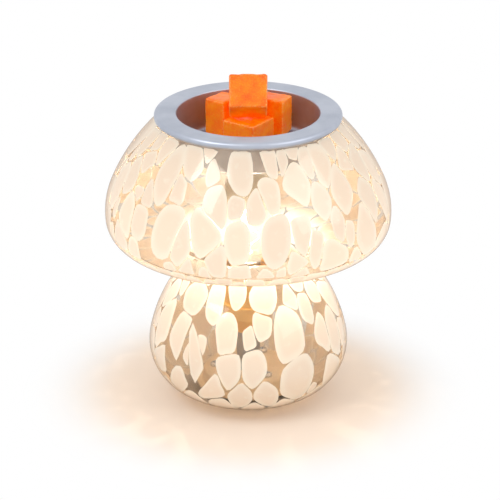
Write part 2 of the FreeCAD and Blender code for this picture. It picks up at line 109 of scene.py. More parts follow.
def grid_quads(rows: int, columns: int, close_rows: bool, close_columns: bool) -> Array:
    """Number the corners of every cell of a grid of points.

    Args:
        rows: Points along the section.
        columns: Points across it.
        close_rows: Whether the last row meets the first one.
        close_columns: Whether the last column meets the first one.

    Returns:
        One row of four point numbers for each cell, row by row.
    """
    down = np.arange(rows if close_rows else rows - 1)
    along = np.arange(columns if close_columns else columns - 1)
    i, j = np.meshgrid(down, along, indexing="ij")
    below = (i + 1) % rows
    beside = (j + 1) % columns
    corners = (i * columns + j, i * columns + beside, below * columns + beside, below * columns + j)
    return np.stack(corners, axis=-1).reshape(-1, 4)


def revolved(section: Array, turns: int, closed: bool) -> Surface:
    """Turn a half section about the upright axis: (r cos a, r sin a, z) for a full turn of a.

    The section runs counter-clockwise in (r, z), so its faces point outward. Where an open
    section begins or ends on the axis, a fan of triangles closes it with a single point.

    Args:
        section: Points (r, z) of the half section.
        turns: Number of steps round the axis.
        closed: Whether the section is a closed ring clear of the axis.

    Returns:
        The turned surface.
    """
    ring = section if closed else section[1:-1]
    angle = np.linspace(0.0, FULL_TURN, turns, endpoint=False)
    x = ring[:, :1] * np.cos(angle)
    y = ring[:, :1] * np.sin(angle)
    z = np.repeat(ring[:, 1:], turns, axis=1)
    points = np.stack([x, y, z], axis=-1).reshape(-1, 3)
    quads = grid_quads(len(ring), turns, closed, True)
    if closed:
        return Surface(points, quads)
    first = np.arange(turns)
    following = (first + 1) % turns
    last = (len(ring) - 1) * turns
    bottom = np.stack([np.full(turns, len(points)), following, first], axis=-1)
    top = np.stack([last + first, last + following, np.full(turns, len(points) + 1)], axis=-1)
    poles = np.array([[0.0, 0.0, section[0, 1]], [0.0, 0.0, section[-1, 1]]])
    return Surface(np.concatenate([points, poles]), quads, np.concatenate([bottom, top]))


def rounded_section(corners: list[Row], step: float = 12.0) -> Array:
    """Outline through (r, z, rounding) corners, each rounding a tangent arc.

    Args:
        corners: The corners in order.
        step: Largest angle between points of a rounding, in degrees.

    Returns:
        Points (r, z) of the closed outline.
    """
    places = np.array([corner[:2] for corner in corners])
    runs = []
    for index, corner in enumerate(corners):
        here = places[index]
        if not corner[2]:
            runs.append(here[None])
            continue
        back = places[index - 1] - here
        ahead = places[(index + 1) % len(places)] - here
        back, ahead = back / np.linalg.norm(back), ahead / np.linalg.norm(ahead)
        half = math.acos(float(np.clip(back @ ahead, -1.0, 1.0))) / 2
        middle = (back + ahead) / np.linalg.norm(back + ahead)
        centre = here + middle * corner[2] / math.sin(half)
        first = here + back * corner[2] / math.tan(half) - centre
        last = here + ahead * corner[2] / math.tan(half) - centre
        turn = math.atan2(first[0] * last[1] - first[1] * last[0], float(first @ last))
        steps = max(2, math.ceil(abs(math.degrees(turn)) / step) + 1)
        angle = np.linspace(0.0, turn, steps)[:, None]
        across = np.array([-first[1], first[0]])
        runs.append(centre + first * np.cos(angle) + across * np.sin(angle))
    return np.concatenate(runs)


def dense(section: Array, step: float, closed: bool = True) -> Array:
    """Add points to the straight runs of a section, so that none is longer than a step.

    Args:
        section: Points (r, z).
        step: Longest run left, in millimetres.
        closed: Whether a run joins the last point to the first one.

    Returns:
        The section with its own points and the added ones, in order.
    """
    ends = np.roll(section, -1, axis=0) if closed else section[1:]
    runs = []
    for start, end in zip(section, ends):
        count = max(1, math.ceil(float(np.linalg.norm(end - start)) / step))
        share = np.linspace(0.0, 1.0, count, endpoint=False)[:, None]
        runs.append(start + (end - start) * share)
    return np.concatenate(runs if closed else runs + [section[-1:]])


def tube(path: Array, radius: float | Array, sides: int, closed: bool = False) -> Surface:
    """Carry a circle along a path: p + r (n cos a + b sin a), its ends closed by fans.

    The frame (n, b) comes from the path's tangent and one fixed direction off it.

    Args:
        path: Points in order along the middle line.
        radius: Radius of the tube, one number or one for each point.
        sides: Number of steps round the circle.
        closed: Whether the path is a loop.

    Returns:
        The tube's surface.
    """
    tangent = np.gradient(path, axis=0)
    if closed:
        tangent = np.roll(path, -1, axis=0) - np.roll(path, 1, axis=0)
    tangent /= np.linalg.norm(tangent, axis=1, keepdims=True)
    fixed = np.eye(3)[np.argmin(np.abs(tangent).max(axis=0))]
    n = np.cross(tangent, fixed)
    n /= np.linalg.norm(n, axis=1, keepdims=True)
    b = np.cross(tangent, n)
    angle = np.linspace(0.0, FULL_TURN, sides, endpoint=False)[None, :, None]
    size = np.broadcast_to(np.asarray(radius, dtype=float), (len(path),))[:, None, None]
    rings = path[:, None] + size * (n[:, None] * np.cos(angle) + b[:, None] * np.sin(angle))
    points = rings.reshape(-1, 3)
    quads = grid_quads(len(path), sides, closed, True)
    if closed:
        return Surface(points, quads)
    first = np.arange(sides)
    following = (first + 1) % sides
    last = (len(path) - 1) * sides
    start_fan = np.stack([np.full(sides, len(points)), following, first], axis=-1)
    end_fan = np.stack([last + first, last + following, np.full(sides, len(points) + 1)], axis=-1)
    points = np.concatenate([points, path[:1], path[-1:]])
    return Surface(points, quads, np.concatenate([start_fan, end_fan]))


def put_piece(name: str, surface: Surface, marks: dict[str, Array] | None = None,
              sharp: float = 40.0) -> Piece:
    """Make a mesh object from a surface, at the origin, smooth but for its sharp edges.

    Args:
        name: Name of the piece.
        surface: Its points and faces, in millimetres.
        marks: Numbers for each point that its material reads, by name.
        sharp: Angle in degrees from which an edge stays sharp.

    Returns:
        The new object.
    """
    mesh = bpy.data.meshes.new(name)
    mesh.vertices.add(len(surface.points))
    mesh.vertices.foreach_set("co", (surface.points * METRES).astype(np.float32).ravel())
    corners = np.concatenate([surface.quads.ravel(), surface.tris.ravel()]).astype(np.int32)
    four = 4 * np.arange(len(surface.quads))
    three = 4 * len(surface.quads) + 3 * np.arange(len(surface.tris))
    starts = np.concatenate([four, three]).astype(np.int32)
    mesh.loops.add(len(corners))
    mesh.loops.foreach_set("vertex_index", corners)
    mesh.polygons.add(len(starts))
    mesh.polygons.foreach_set("loop_start", starts)
    mesh.update(calc_edges=True)
    mesh.polygons.foreach_set("use_smooth", np.ones(len(starts), dtype=bool))
    mesh.set_sharp_from_angle(angle=math.radians(sharp))
    for mark, values in (marks or {}).items():
        layer = mesh.attributes.new(mark, "FLOAT", "POINT")
        layer.data.foreach_set("value", values.astype(np.float32))
    piece = bpy.data.objects.new(name, mesh)
    bpy.context.scene.collection.objects.link(piece)
    return piece


def linear(code: str) -> Colour:
    """Turn an sRGB hex colour into a linear one, by the sRGB curve.

    Args:
        code: The colour, such as #F4E6D0.

    Returns:
        Linear red, green, blue and alpha.
    """
    parts = [int(code[place:place + 2], 16) / 255 for place in (1, 3, 5)]
    red, green, blue = [((part + 0.055) / 1.055) ** 2.4 if part > 0.04045 else part / 12.92
                        for part in parts]
    return red, green, blue, 1.0


def add_node(tree: Tree, kind: str, settings: dict[str | int, Any] | None = None,
             links: dict[str | int, Socket] | None = None) -> bpy.types.Node:
    """Add a node with its settings and the links into it.

    Args:
        tree: Node tree of the material or the world.
        kind: Node type without its ShaderNode prefix.
        settings: Values by property name, input name or input number. A colour ramp also
            takes its easing, and its two stops as places from 0 to 1 with their colours.
        links: Output sockets by the name or number of the input that they feed.

    Returns:
        The new node.
    """
    node = tree.nodes.new("ShaderNode" + kind)
    for name, value in (settings or {}).items():
        if name == "easing":
            node.color_ramp.interpolation = value
        elif name == "stops":
            for element, (place, colour) in zip(node.color_ramp.elements, value):
                element.position, element.color = place, colour
        elif isinstance(name, str) and hasattr(node, name):
            setattr(node, name, value)
        else:
            node.inputs[name].default_value = value
    for name, socket in (links or {}).items():
        tree.links.new(socket, node.inputs[name])
    return node


def stops(ends: Range, first: Colour, last: Colour) -> list[tuple[float, Colour]]:
    """Return a ramp's two stops: one colour up to the first end, the other from the last."""
    return [(ends[0], first), (ends[1], last)]


def cells(size: float) -> float:
    """Return the noise scale at which a pattern's cells have this size in millimetres."""
    return 1 / (size * METRES)


def grey(level: float) -> Colour:
    """Return a grey of one linear level."""
    return level, level, level, 1.0


def new_material(name: str) -> tuple[Material, Tree]:
    """Make an empty node material.

    Args:
        name: Name of the real material.

    Returns:
        The material and its node tree.
    """
    material = bpy.data.materials.new(name)
    material.use_nodes = True
    material.node_tree.nodes.clear()
    return material, material.node_tree


def dress(piece: Piece, material: Material) -> None:
    """Give a piece one material in all its slots."""
    if not piece.material_slots:
        piece.data.materials.append(material)
    for place in piece.material_slots:
        place.material = material


class Sheen(Enum):
    """How finely a metal surface was finished, as its roughness."""

    POLISHED = 0.12
    TURNED = 0.44
    SATIN = 0.34
    PLATED = 0.3


@dataclass(frozen=True)
class Metal:
    """Bare or plated metal. The eye gets its colour as a tint of what it mirrors, and fine marks.

    Its marks are drawn a few times coarser than the real ones, which are too fine to show.
    """

    name: str
    colour: str
    worn: str
    sheen: Sheen
    mark_mm: float = 0.35
    mark_depth: float = 0.02
    turned: bool = False
    patch_mm: float = 14.0
    patch_ends: Range = (0.3, 0.62)
    mark_ends: Range = (0.2, 0.8)
    gloss_swing: float = 0.2
    bump: float = 0.35

    def build(self) -> Material:
        """Make the metal: fine marks in the bump and a little change of colour and gloss.

        Returns:
            The finished material.
        """
        material, tree = new_material(self.name)
        place = add_node(tree, "TexCoord").outputs["Object"]
        way = place
        if self.turned:
            # Turned on a lathe: the marks are rings about the upright axis.
            parts = add_node(tree, "SeparateXYZ", links={0: place}).outputs
            flat = add_node(tree, "CombineXYZ", links={"X": parts["X"], "Y": parts["Y"]})
            away = add_node(tree, "VectorMath", {"operation": "LENGTH"}, {0: flat.outputs[0]})
            way = add_node(tree, "CombineXYZ", links={"X": away.outputs["Value"]}).outputs[0]
        marks = add_node(tree, "TexNoise", {"Scale": cells(self.mark_mm), "Detail": 3.0},
                         {"Vector": way}).outputs["Fac"]
        patches = add_node(tree, "TexNoise", {"Scale": cells(self.patch_mm), "Detail": 4.0},
                           {"Vector": place}).outputs["Fac"]
        colours = stops(self.patch_ends, linear(self.worn), linear(self.colour))
        colour = add_node(tree, "ValToRGB", {"stops": colours}, {0: patches}).outputs[0]
        level = self.sheen.value
        levels = stops(self.mark_ends, grey(level * (1 - self.gloss_swing)),
                       grey(level * (1 + self.gloss_swing)))
        gloss = add_node(tree, "ValToRGB", {"stops": levels}, {0: marks}).outputs[0]
        bump = add_node(tree, "Bump", {"Strength": self.bump, "Distance": self.mark_depth * METRES},
                        {"Height": marks})
        shader = add_node(tree, "BsdfPrincipled", {"Metallic": 1.0},
                          {"Base Color": colour, "Roughness": gloss, "Normal": bump.outputs[0]})
        add_node(tree, "OutputMaterial", links={"Surface": shader.outputs[0]})
        return material


@dataclass(frozen=True)
class Moulding:
    """Moulded or fired piece. The eye gets an even colour with a soft grain and a soft gloss."""

    name: str
    colour: str
    shade: str
    roughness: float
    grain_mm: float = 0.8
    grain_depth: float = 0.03
    ior: float = 1.5
    see_through: float = 0.0
    cloud_mm: float = 9.0
    cloud_ends: Range = (0.3, 0.7)
    grain_ends: Range = (0.2, 0.8)
    gloss_swing: float = 0.15
    bump: float = 0.4

    def build(self) -> Material:
        """Make the moulding: cloudy colour between two tones and a fine grain.

        Returns:
            The finished material.
        """
        material, tree = new_material(self.name)
        place = add_node(tree, "TexCoord").outputs["Object"]
        grain = add_node(tree, "TexNoise", {"Scale": cells(self.grain_mm), "Detail": 2.0},
                         {"Vector": place}).outputs["Fac"]
        cloud = add_node(tree, "TexNoise", {"Scale": cells(self.cloud_mm), "Detail": 4.0},
                         {"Vector": place}).outputs["Fac"]
        colours = stops(self.cloud_ends, linear(self.shade), linear(self.colour))
        colour = add_node(tree, "ValToRGB", {"stops": colours}, {0: cloud}).outputs[0]
        levels = stops(self.grain_ends, grey(self.roughness * (1 - self.gloss_swing)),
                       grey(self.roughness * (1 + self.gloss_swing)))
        gloss = add_node(tree, "ValToRGB", {"stops": levels}, {0: grain}).outputs[0]
        bump = add_node(tree, "Bump",
                        {"Strength": self.bump, "Distance": self.grain_depth * METRES},
                        {"Height": grain})
        shader = add_node(tree, "BsdfPrincipled",
                          {"IOR": self.ior, "Transmission Weight": self.see_through},
                          {"Base Color": colour, "Roughness": gloss, "Normal": bump.outputs[0]})
        add_node(tree, "OutputMaterial", links={"Surface": shader.outputs[0]})
        return material


@dataclass(frozen=True)
class BlownGlass:
    """Clear blown soda-lime glass. The eye sees through it, with a mirror film and darker edges.

    Light goes straight through its thin wall, which is how a wall of even thickness shows what is
    behind it. The two faces each mirror a few percent, more at a slant. A lit bulb's glass can also
    get a painted halo of glow, which fades with the distance from the filament.
    """

    name: str
    tint: str
    edge: str
    roughness: float
    ripple_mm: float = 22.0
    ripple_depth: float = 0.6
    bump: float = 0.3
    edge_from: float = 0.72
    mirror_straight: float = 0.04
    mirror_slant: float = 0.45
    slant_power: float = 5.0
    painted_halo: float = 0.0
    halo_end: float = 0.05
    halo_colour: str = "#FFF1DA"
    halo_height: float = 93.5
    halo_mm: float = 24.0

    def build(self) -> Material:
        """Make the glass: a tinted clear film under a mirror, with slow ripples.

        The mirror's share is straight share + slant share (1 - cosine)^5.

        Returns:
            The finished material.
        """
        material, tree = new_material(self.name)
        place = add_node(tree, "TexCoord").outputs["Object"]
        ripple = add_node(tree, "TexNoise", {"Scale": cells(self.ripple_mm), "Detail": 2.0},
                          {"Vector": place})
        normal = add_node(tree, "Bump",
                          {"Strength": self.bump, "Distance": self.ripple_depth * METRES},
                          {"Height": ripple.outputs["Fac"]}).outputs[0]
        slant = add_node(tree, "LayerWeight", {"Blend": 0.5}, {"Normal": normal}).outputs["Facing"]
        tones = stops((self.edge_from, 1.0), linear(self.tint), linear(self.edge))
        tone = add_node(tree, "ValToRGB", {"stops": tones}, {0: slant}).outputs[0]
        clear = add_node(tree, "BsdfTransparent", links={"Color": tone})
        mirror = add_node(tree, "BsdfGlossy", {"Roughness": self.roughness}, {"Normal": normal})
        graze = add_node(tree, "Math", {"operation": "POWER", 1: self.slant_power}, {0: slant})
        film = add_node(tree, "Math", {"operation": "MULTIPLY_ADD", 1: self.mirror_slant,
                                       2: self.mirror_straight}, {0: graze.outputs[0]})
        shader = add_node(tree, "MixShader", links={0: film.outputs[0], 1: clear.outputs[0],
                                                    2: mirror.outputs[0]})
        # Painted halo: emission on the glass that stands in for the glare round a lit filament.
        if self.painted_halo:
            filament = (0.0, 0.0, self.halo_height * METRES)
            away = add_node(tree, "VectorMath", {"operation": "DISTANCE", 1: filament},
                            {0: place}).outputs["Value"]
            level = add_node(tree, "MapRange", {2: self.halo_mm * METRES, 3: self.painted_halo,
                                                4: self.halo_end}, {0: away})
            painted_shine = add_node(tree, "Emission", {"Color": linear(self.halo_colour)},
                             {"Strength": level.outputs[0]})
            shader = add_node(tree, "AddShader", links={0: shader.outputs[0], 1: painted_shine.outputs[0]})
        add_node(tree, "OutputMaterial", links={"Surface": shader.outputs[0]})
        return material


@dataclass(frozen=True)
class FusedFrit:
    """White frit: chips of opal glass rolled up and fused into the clear wall before blowing.

    The eye gets glossy cream islands with soft, slightly paler rims, and a painted warm glow that
    stands in for the lamp's light shining through them from inside.
    """

    name: str
    colour: str
    rim: str
    # glow and hot are the colours of the painted glow, far from the lamp and close to it.
    glow: str
    hot: str
    painted_glow_level: float
    cloud_mm: float = 5.0
    cloud_ends: Range = (0.2, 0.42)
    rim_ends: Range = (0.55, 1.0)
    hot_ends: Range = (0.36, 1.2)
    least_tone: float = 0.85
    tone_swing: float = 0.3
    roughness: float = 0.16
    ior: float = 1.52
    coat: float = 0.3
    coat_roughness: float = 0.05

    def build(self) -> Material:
        """Make the opal glass: cream with a paler rim, glossy, with a painted glow set by the
        lamp's distance.

        The painted glow is almost white close to the lamp and warmer farther off, in place of the
        lamp's light through the chips.

        Returns:
            The finished material.
        """
        material, tree = new_material(self.name)
        rim, tone, glow = (add_node(tree, "Attribute", {"attribute_name": mark}).outputs["Fac"]
                           for mark in ("rim", "tone", "glow"))
        place = add_node(tree, "TexCoord").outputs["Object"]
        cloud = add_node(tree, "TexNoise", {"Scale": cells(self.cloud_mm), "Detail": 4.0},
                         {"Vector": place}).outputs["Fac"]
        levels = stops(self.rim_ends, grey(0.0), grey(1.0))
        at_rim = add_node(tree, "ValToRGB", {"stops": levels, "easing": "EASE"}, {0: rim})
        colours = stops(self.cloud_ends, linear(self.rim), linear(self.colour))
        body = add_node(tree, "ValToRGB", {"stops": colours}, {0: cloud}).outputs[0]
        colour = add_node(tree, "Mix", {"data_type": "RGBA", 7: linear(self.rim)},
                          {0: at_rim.outputs[0], 6: body}).outputs[2]
        # A ramp takes values up to 1, so the painted glow and its ends are halved.
        half = add_node(tree, "Math", {"operation": "MULTIPLY", 1: 0.5}, {0: glow})
        tints = stops((self.hot_ends[0] / 2, self.hot_ends[1] / 2), linear(self.glow),
                      linear(self.hot))
        tint = add_node(tree, "ValToRGB", {"stops": tints}, {0: half.outputs[0]}).outputs[0]
        warm = add_node(tree, "Mix", {"data_type": "RGBA", "blend_type": "MULTIPLY", 0: 1.0},
                        {6: colour, 7: tint}).outputs[2]
        # Painted glow: the emission stands in for the lamp's light coming through the chips from
        # inside.
        level = add_node(tree, "Math", {"operation": "MULTIPLY", 1: self.painted_glow_level}, {0: glow})
        chip = add_node(tree, "Math", {"operation": "MULTIPLY_ADD", 1: self.tone_swing,
                                       2: self.least_tone}, {0: tone})
        painted_glow_strength = add_node(tree, "Math", {"operation": "MULTIPLY"},
                         {0: level.outputs[0], 1: chip.outputs[0]}).outputs[0]
        shader = add_node(tree, "BsdfPrincipled",
                          {"Roughness": self.roughness, "IOR": self.ior, "Coat Weight": self.coat,
                           "Coat Roughness": self.coat_roughness},
                          {"Base Color": colour, "Emission Color": warm,
                           "Emission Strength": painted_glow_strength})
        add_node(tree, "OutputMaterial", links={"Surface": shader.outputs[0]})
        return material


@dataclass(frozen=True)
class ScentedWax:
    """Cast and snapped scented wax. The eye gets a deep orange glow, from light that soaks in and
    from a faint painted glow, with pale rubbed edges.
    """

    name: str
    colour: str
    deep: str
    bloom: str
    speck_mm: float = 0.9
    cloud_mm: float = 7.0
    speck_share: float = 0.55
    mottle_ends: Range = (0.36, 0.6)
    edge_wear: float = 0.85
    speck_wear: float = 4.2
    unworn: float = -2.3
    pale_ends: Range = (0.25, 1.0)
    most_pale: float = 0.8
    gloss_ends: Range = (0.1, 0.8)
    least_rough: float = 0.36
    most_rough: float = 0.62
    bump: float = 0.5
    pore_depth: float = 0.12
    ior: float = 1.44
    soak: float = 0.55
    soak_mm: float = 4.0
    soak_colours: tuple[float, float, float] = (1.0, 0.32, 0.08)
    painted_wax_glow: float = 0.2

    def build(self) -> Material:
        """Make the wax: light soaks in, fine pores, a dry pale bloom where it is rubbed, and a
        faint painted glow in its own colour.

        The wear is edge wear x nearness to an edge + speck wear x specks + the unworn level.

        Returns:
            The finished material.
        """
        material, tree = new_material(self.name)
        place = add_node(tree, "TexCoord").outputs["Object"]
        edge = add_node(tree, "Attribute", {"attribute_name": "rubbed"}).outputs["Fac"]
        speck = add_node(tree, "TexNoise", {"Scale": cells(self.speck_mm), "Detail": 5.0,
                                            "Roughness": 0.7}, {"Vector": place}).outputs["Fac"]
        cloud = add_node(tree, "TexNoise", {"Scale": cells(self.cloud_mm), "Detail": 5.0},
                         {"Vector": place}).outputs["Fac"]
        mottle = add_node(tree, "Mix", {"data_type": "FLOAT", 0: self.speck_share},
                          {2: cloud, 3: speck}).outputs[0]
        colours = stops(self.mottle_ends, linear(self.deep), linear(self.colour))
        body = add_node(tree, "ValToRGB", {"stops": colours}, {0: mottle}).outputs[0]
        specks = add_node(tree, "Math", {"operation": "MULTIPLY_ADD", 1: self.speck_wear,
                                         2: self.unworn}, {0: speck})
        worn = add_node(tree, "Math", {"operation": "MULTIPLY_ADD", 1: self.edge_wear},
                        {0: edge, 2: specks.outputs[0]}).outputs[0]
        shares = stops(self.pale_ends, grey(0.0), grey(self.most_pale))
        pale = add_node(tree, "ValToRGB", {"stops": shares}, {0: worn}).outputs[0]
        colour = add_node(tree, "Mix", {"data_type": "RGBA", 7: linear(self.bloom)},
                          {0: pale, 6: body}).outputs[2]
        levels = stops(self.gloss_ends, grey(self.least_rough), grey(self.most_rough))
        gloss = add_node(tree, "ValToRGB", {"stops": levels}, {0: worn}).outputs[0]
        bump = add_node(tree, "Bump", {"Strength": self.bump, "Distance": self.pore_depth * METRES},
                        {"Height": speck})
        # The emission is a faint painted glow in the wax's mottled colour, standing in for light
        # that comes back out of the wax.
        shader = add_node(tree, "BsdfPrincipled",
                          {"IOR": self.ior, "Subsurface Weight": self.soak,
                           "Subsurface Scale": self.soak_mm * METRES,
                           "Subsurface Radius": self.soak_colours,
                           "Emission Strength": self.painted_wax_glow},
                          {"Base Color": colour, "Emission Color": body, "Roughness": gloss,
                           "Normal": bump.outputs[0]})
        add_node(tree, "OutputMaterial", links={"Surface": shader.outputs[0]})
        return material


@dataclass(frozen=True)
class HotWire:
    """Drawn tungsten at work. The eye gets a bright yellow-white line."""

    name: str
    colour: str
    dull: str
    strength: float
    mark_mm: float = 1.5
    mark_ends: Range = (0.3, 0.6)
    roughness: float = 0.4

    def build(self) -> Material:
        """Make the glowing wire: its die marks vary the glow a little along it.

        Returns:
            The finished material.
        """
        material, tree = new_material(self.name)
        place = add_node(tree, "TexCoord").outputs["Object"]
        marks = add_node(tree, "TexNoise", {"Scale": cells(self.mark_mm)}, {"Vector": place})
        colours = stops(self.mark_ends, linear(self.dull), linear(self.colour))
        glow = add_node(tree, "ValToRGB", {"stops": colours}, {0: marks.outputs["Fac"]}).outputs[0]
        shader = add_node(tree, "BsdfPrincipled",
                          {"Roughness": self.roughness, "Emission Strength": self.strength},
                          {"Base Color": glow, "Emission Color": glow})
        add_node(tree, "OutputMaterial", links={"Surface": shader.outputs[0]})
        return material


@dataclass(frozen=True)
class View:
    """The camera of the photograph: far off, about 23 degrees above the table.

    The zoom is the focal length in pixels of the square image, and the clip is in metres.
    """

    place: tuple[float, float, float] = (0.95, -1288.0, 626.6)
    aim: tuple[float, float, float] = (0.95, 0.0, 83.2)
    zoom: float = 2581.8
    image: float = 500.0
    sensor: float = 36.0
    clip: Range = (0.1, 30.0)

    @classmethod
    def axes(cls) -> Array:
        """Work out the camera's directions.

        Returns:
            Right, up and forward, one in each row.
        """
        forward = np.array(cls.aim) - np.array(cls.place)
        forward = forward / np.linalg.norm(forward)
        right = np.array([1.0, 0.0, 0.0])
        return np.stack([right, np.cross(right, forward), forward])

    @classmethod
    def pixels(cls, points: Array) -> Array:
        """Project places into the image: middle + zoom (right, -up) / forward.

        Args:
            points: Places in millimetres.

        Returns:
            Image places, counted from the left and from the top.
        """
        seen = (points - np.array(cls.place)) @ cls.axes().T
        across = cls.image / 2 + cls.zoom * seen[..., 0] / seen[..., 2]
        down = cls.image / 2 - cls.zoom * seen[..., 1] / seen[..., 2]
        return np.stack([across, down], axis=-1)

    @classmethod
    def build(cls) -> Piece:
        """Make the camera and let the scene use it.

        Returns:
            The camera's object.
        """
        data = bpy.data.cameras.new("photo_camera")
        data.sensor_width = cls.sensor
        data.lens = cls.zoom / cls.image * cls.sensor
        data.clip_start, data.clip_end = cls.clip
        camera = bpy.data.objects.new("photo_camera", data)
        right, up, forward = cls.axes()
        turn = np.eye(4)
        turn[:3, :3] = np.stack([right, up, -forward], axis=1)
        turn[:3, 3] = np.array(cls.place) * METRES
        camera.matrix_world = Matrix(turn.tolist())
        bpy.context.scene.collection.objects.link(camera)
        bpy.context.scene.camera = camera
        return camera


@dataclass
class GlassBody:
    """One blown shell: round base, hollow neck and mushroom cap, open above and below."""

    wall: float = 2.6
    bottom: float = 3.0
    base_radius: float = 54.2
    base_side: float = 30.2
    base_shoulder: float = 84.3
    base_foot: float = 27.8
    base_shoulder_angle: float = 78.0
    base_foot_angle: float = 107.1
    neck_radius: float = 34.6
    neck_round: float = 12.0
    cap_radius: float = 76.9
    cap_equator: float = 107.1
    cap_side: float = 41.7
    cap_crown: float = 106.6
    cap_lip: float = 14.65
    cap_crown_angle: float = 66.5
    cap_lip_angle: float = 94.8
    top: float = 159.0
    opening_radius: float = 22.0
    inlet_rise: float = 23.0
    inlet_cleared: float = 5.3
    turns: int = 240
    arc_step: float = 4.0
    run_step: float = 2.4
    underside_steps: int = 7
    least_steps: int = 4

    @staticmethod
    def away(angle: float) -> Array:
        """Return the direction (r, z) that leans outward from upright by an angle in degrees."""
        return np.array([math.sin(math.radians(angle)), math.cos(math.radians(angle))])

    def centres(self) -> dict[str, Array]:
        """Work out the middles of the seven arcs, each tangent to the next.

        Returns:
            Middle (r, z) of each arc by name.
        """
        side = np.array([self.base_radius - self.base_side, 0.0])
        foot = side + self.away(self.base_foot_angle) * (self.base_side - self.base_foot)
        lift = np.array([0.0, self.bottom + self.base_foot - foot[1]])
        slack = self.base_side - self.base_shoulder
        shoulder = side + self.away(self.base_shoulder_angle) * slack
        side, foot, shoulder = side + lift, foot + lift, shoulder + lift
        across = self.neck_radius + self.neck_round - shoulder[0]
        rise = math.sqrt((self.base_shoulder + self.neck_round) ** 2 - across ** 2)
        neck = np.array([self.neck_radius + self.neck_round, shoulder[1] + rise])
        brim = np.array([self.cap_radius - self.cap_side, self.cap_equator])
        lip = brim + self.away(self.cap_lip_angle) * (self.cap_side - self.cap_lip)
        crown = brim + self.away(self.cap_crown_angle) * (self.cap_side - self.cap_crown)
        return {"foot": foot, "side": side, "shoulder": shoulder, "neck": neck, "lip": lip,
                "brim": brim, "crown": crown}

    def line(self, inset: float) -> Array:
        """Section of the glass from its floor to its rim, set in from the outer face.

        Args:
            inset: How far inside the outer face the line runs.

        Returns:
            Points (r, z), the same number for every inset.
        """
        at = self.centres()
        rise = at["neck"] - at["shoulder"]
        neck_angle = math.degrees(math.atan2(rise[0], rise[1]))
        reach = at["lip"] - at["neck"]
        spread = math.acos(-(self.cap_lip + self.neck_round) / float(np.linalg.norm(reach)))
        under = math.degrees(math.atan2(reach[0], reach[1]) + spread)
        drop = (self.top - at["crown"][1]) / (self.cap_crown - inset)
        rim = math.degrees(math.acos(drop))
        stretches = [
            ("foot", self.base_foot, 180.0, self.base_foot_angle),
            ("side", self.base_side, self.base_foot_angle, self.base_shoulder_angle),
            ("shoulder", self.base_shoulder, self.base_shoulder_angle, neck_angle),
            ("neck", -self.neck_round, neck_angle, under),
            ("lip", self.cap_lip, under, self.cap_lip_angle),
            ("brim", self.cap_side, self.cap_lip_angle, self.cap_crown_angle),
            ("crown", self.cap_crown, self.cap_crown_angle, rim),
        ]
        runs = []
        for name, radius, start, end in stretches:
            sweep = abs(math.radians(end - start))
            steps = max(self.least_steps, math.ceil(sweep / math.radians(self.arc_step)),
                        math.ceil(sweep * abs(radius) / self.run_step))
            angle = np.radians(np.linspace(start, end, steps, endpoint=False))
            way = np.stack([np.sin(angle), np.cos(angle)], axis=-1)
            runs.append(at[name] + (radius - inset) * way)
            if name == "neck":
                turn = self.away(under)
                ends = [at[place] + turn * (size - inset)
                        for place, size in (("neck", -self.neck_round), ("lip", self.cap_lip))]
                share = np.linspace(0.0, 1.0, self.underside_steps, endpoint=False)[:, None]
                runs.append(ends[0] + (ends[1] - ends[0]) * share)
        runs.append((at["crown"] + self.away(rim) * (self.cap_crown - inset))[None])
        return np.concatenate(runs)

    def runs(self) -> Array:
        """Measure the outer face's section from the floor to each of its points."""
        steps = np.linalg.norm(np.diff(self.line(0.0), axis=0), axis=1)
        return np.concatenate([[0.0], np.cumsum(steps)])

    def inlet(self) -> tuple[Array, Array]:
        """Place of the cord inlet on the outer face and the direction out of it.

        Returns:
            The place and the direction, in x, y and z.
        """
        side = self.centres()["side"]
        tilt = math.degrees(math.acos((self.inlet_rise - side[1]) / self.base_side))
        out = self.away(tilt)
        spot = side + out * self.base_side
        return np.array([0.0, spot[0], spot[1]]), np.array([0.0, out[0], out[1]])

    def shell(self) -> Surface:
        """Turn both faces of the wall, and open the inlet's hole through them.

        Both faces share one grid, so each cell of the outer face has its partner inside. Cells
        near the inlet's axis go, and a wall joins the two edges that are left.

        Returns:
            The closed shell.
        """
        outer, inner = self.line(0.0), self.line(self.wall)
        floor = self.bottom + self.wall
        foot = [[self.opening_radius, floor], [self.opening_radius, self.bottom]]
        rows = len(outer)
        ring = np.concatenate([outer, inner[::-1], foot])
        whole = revolved(ring, self.turns, True)
        place, out = self.inlet()
        middle = whole.points[whole.quads].mean(axis=1) - place
        aside = middle - (middle @ out)[:, None] * out
        this_side = middle[:, 1] > -2 * self.inlet_cleared
        near = (np.linalg.norm(aside, axis=1) < self.inlet_cleared) & this_side
        gone = near.reshape(len(ring), self.turns)
        outside = gone[:rows - 1].copy()
        gone[:] = False
        gone[:rows - 1] = outside
        gone[rows:2 * rows - 1] = outside[::-1]
        number = np.arange(rows)[:, None] * self.turns + np.arange(self.turns)
        partner = (2 * rows - 1 - np.arange(rows))[:, None] * self.turns + np.arange(self.turns)
        walls = []
        i, j = np.nonzero(outside)
        beside = (j + 1) % self.turns
        edges = (((i, j), (i, beside), (i - 1, j)), ((i, beside), (i + 1, beside), (i, beside)),
                 ((i + 1, beside), (i + 1, j), (i + 1, j)),
                 ((i + 1, j), (i, j), (i, (j - 1) % self.turns)))
        for start, end, neighbour in edges:
            kept = ~outside[neighbour]
            a, b = number[start][kept], number[end][kept]
            c, d = partner[end][kept], partner[start][kept]
            walls.append(np.stack([a, b, c, d], axis=-1))
        quads = np.concatenate([whole.quads[~gone.ravel()]] + walls)
        used, numbers = np.unique(quads, return_inverse=True)
        return Surface(whole.points[used], numbers.reshape(-1, 4))

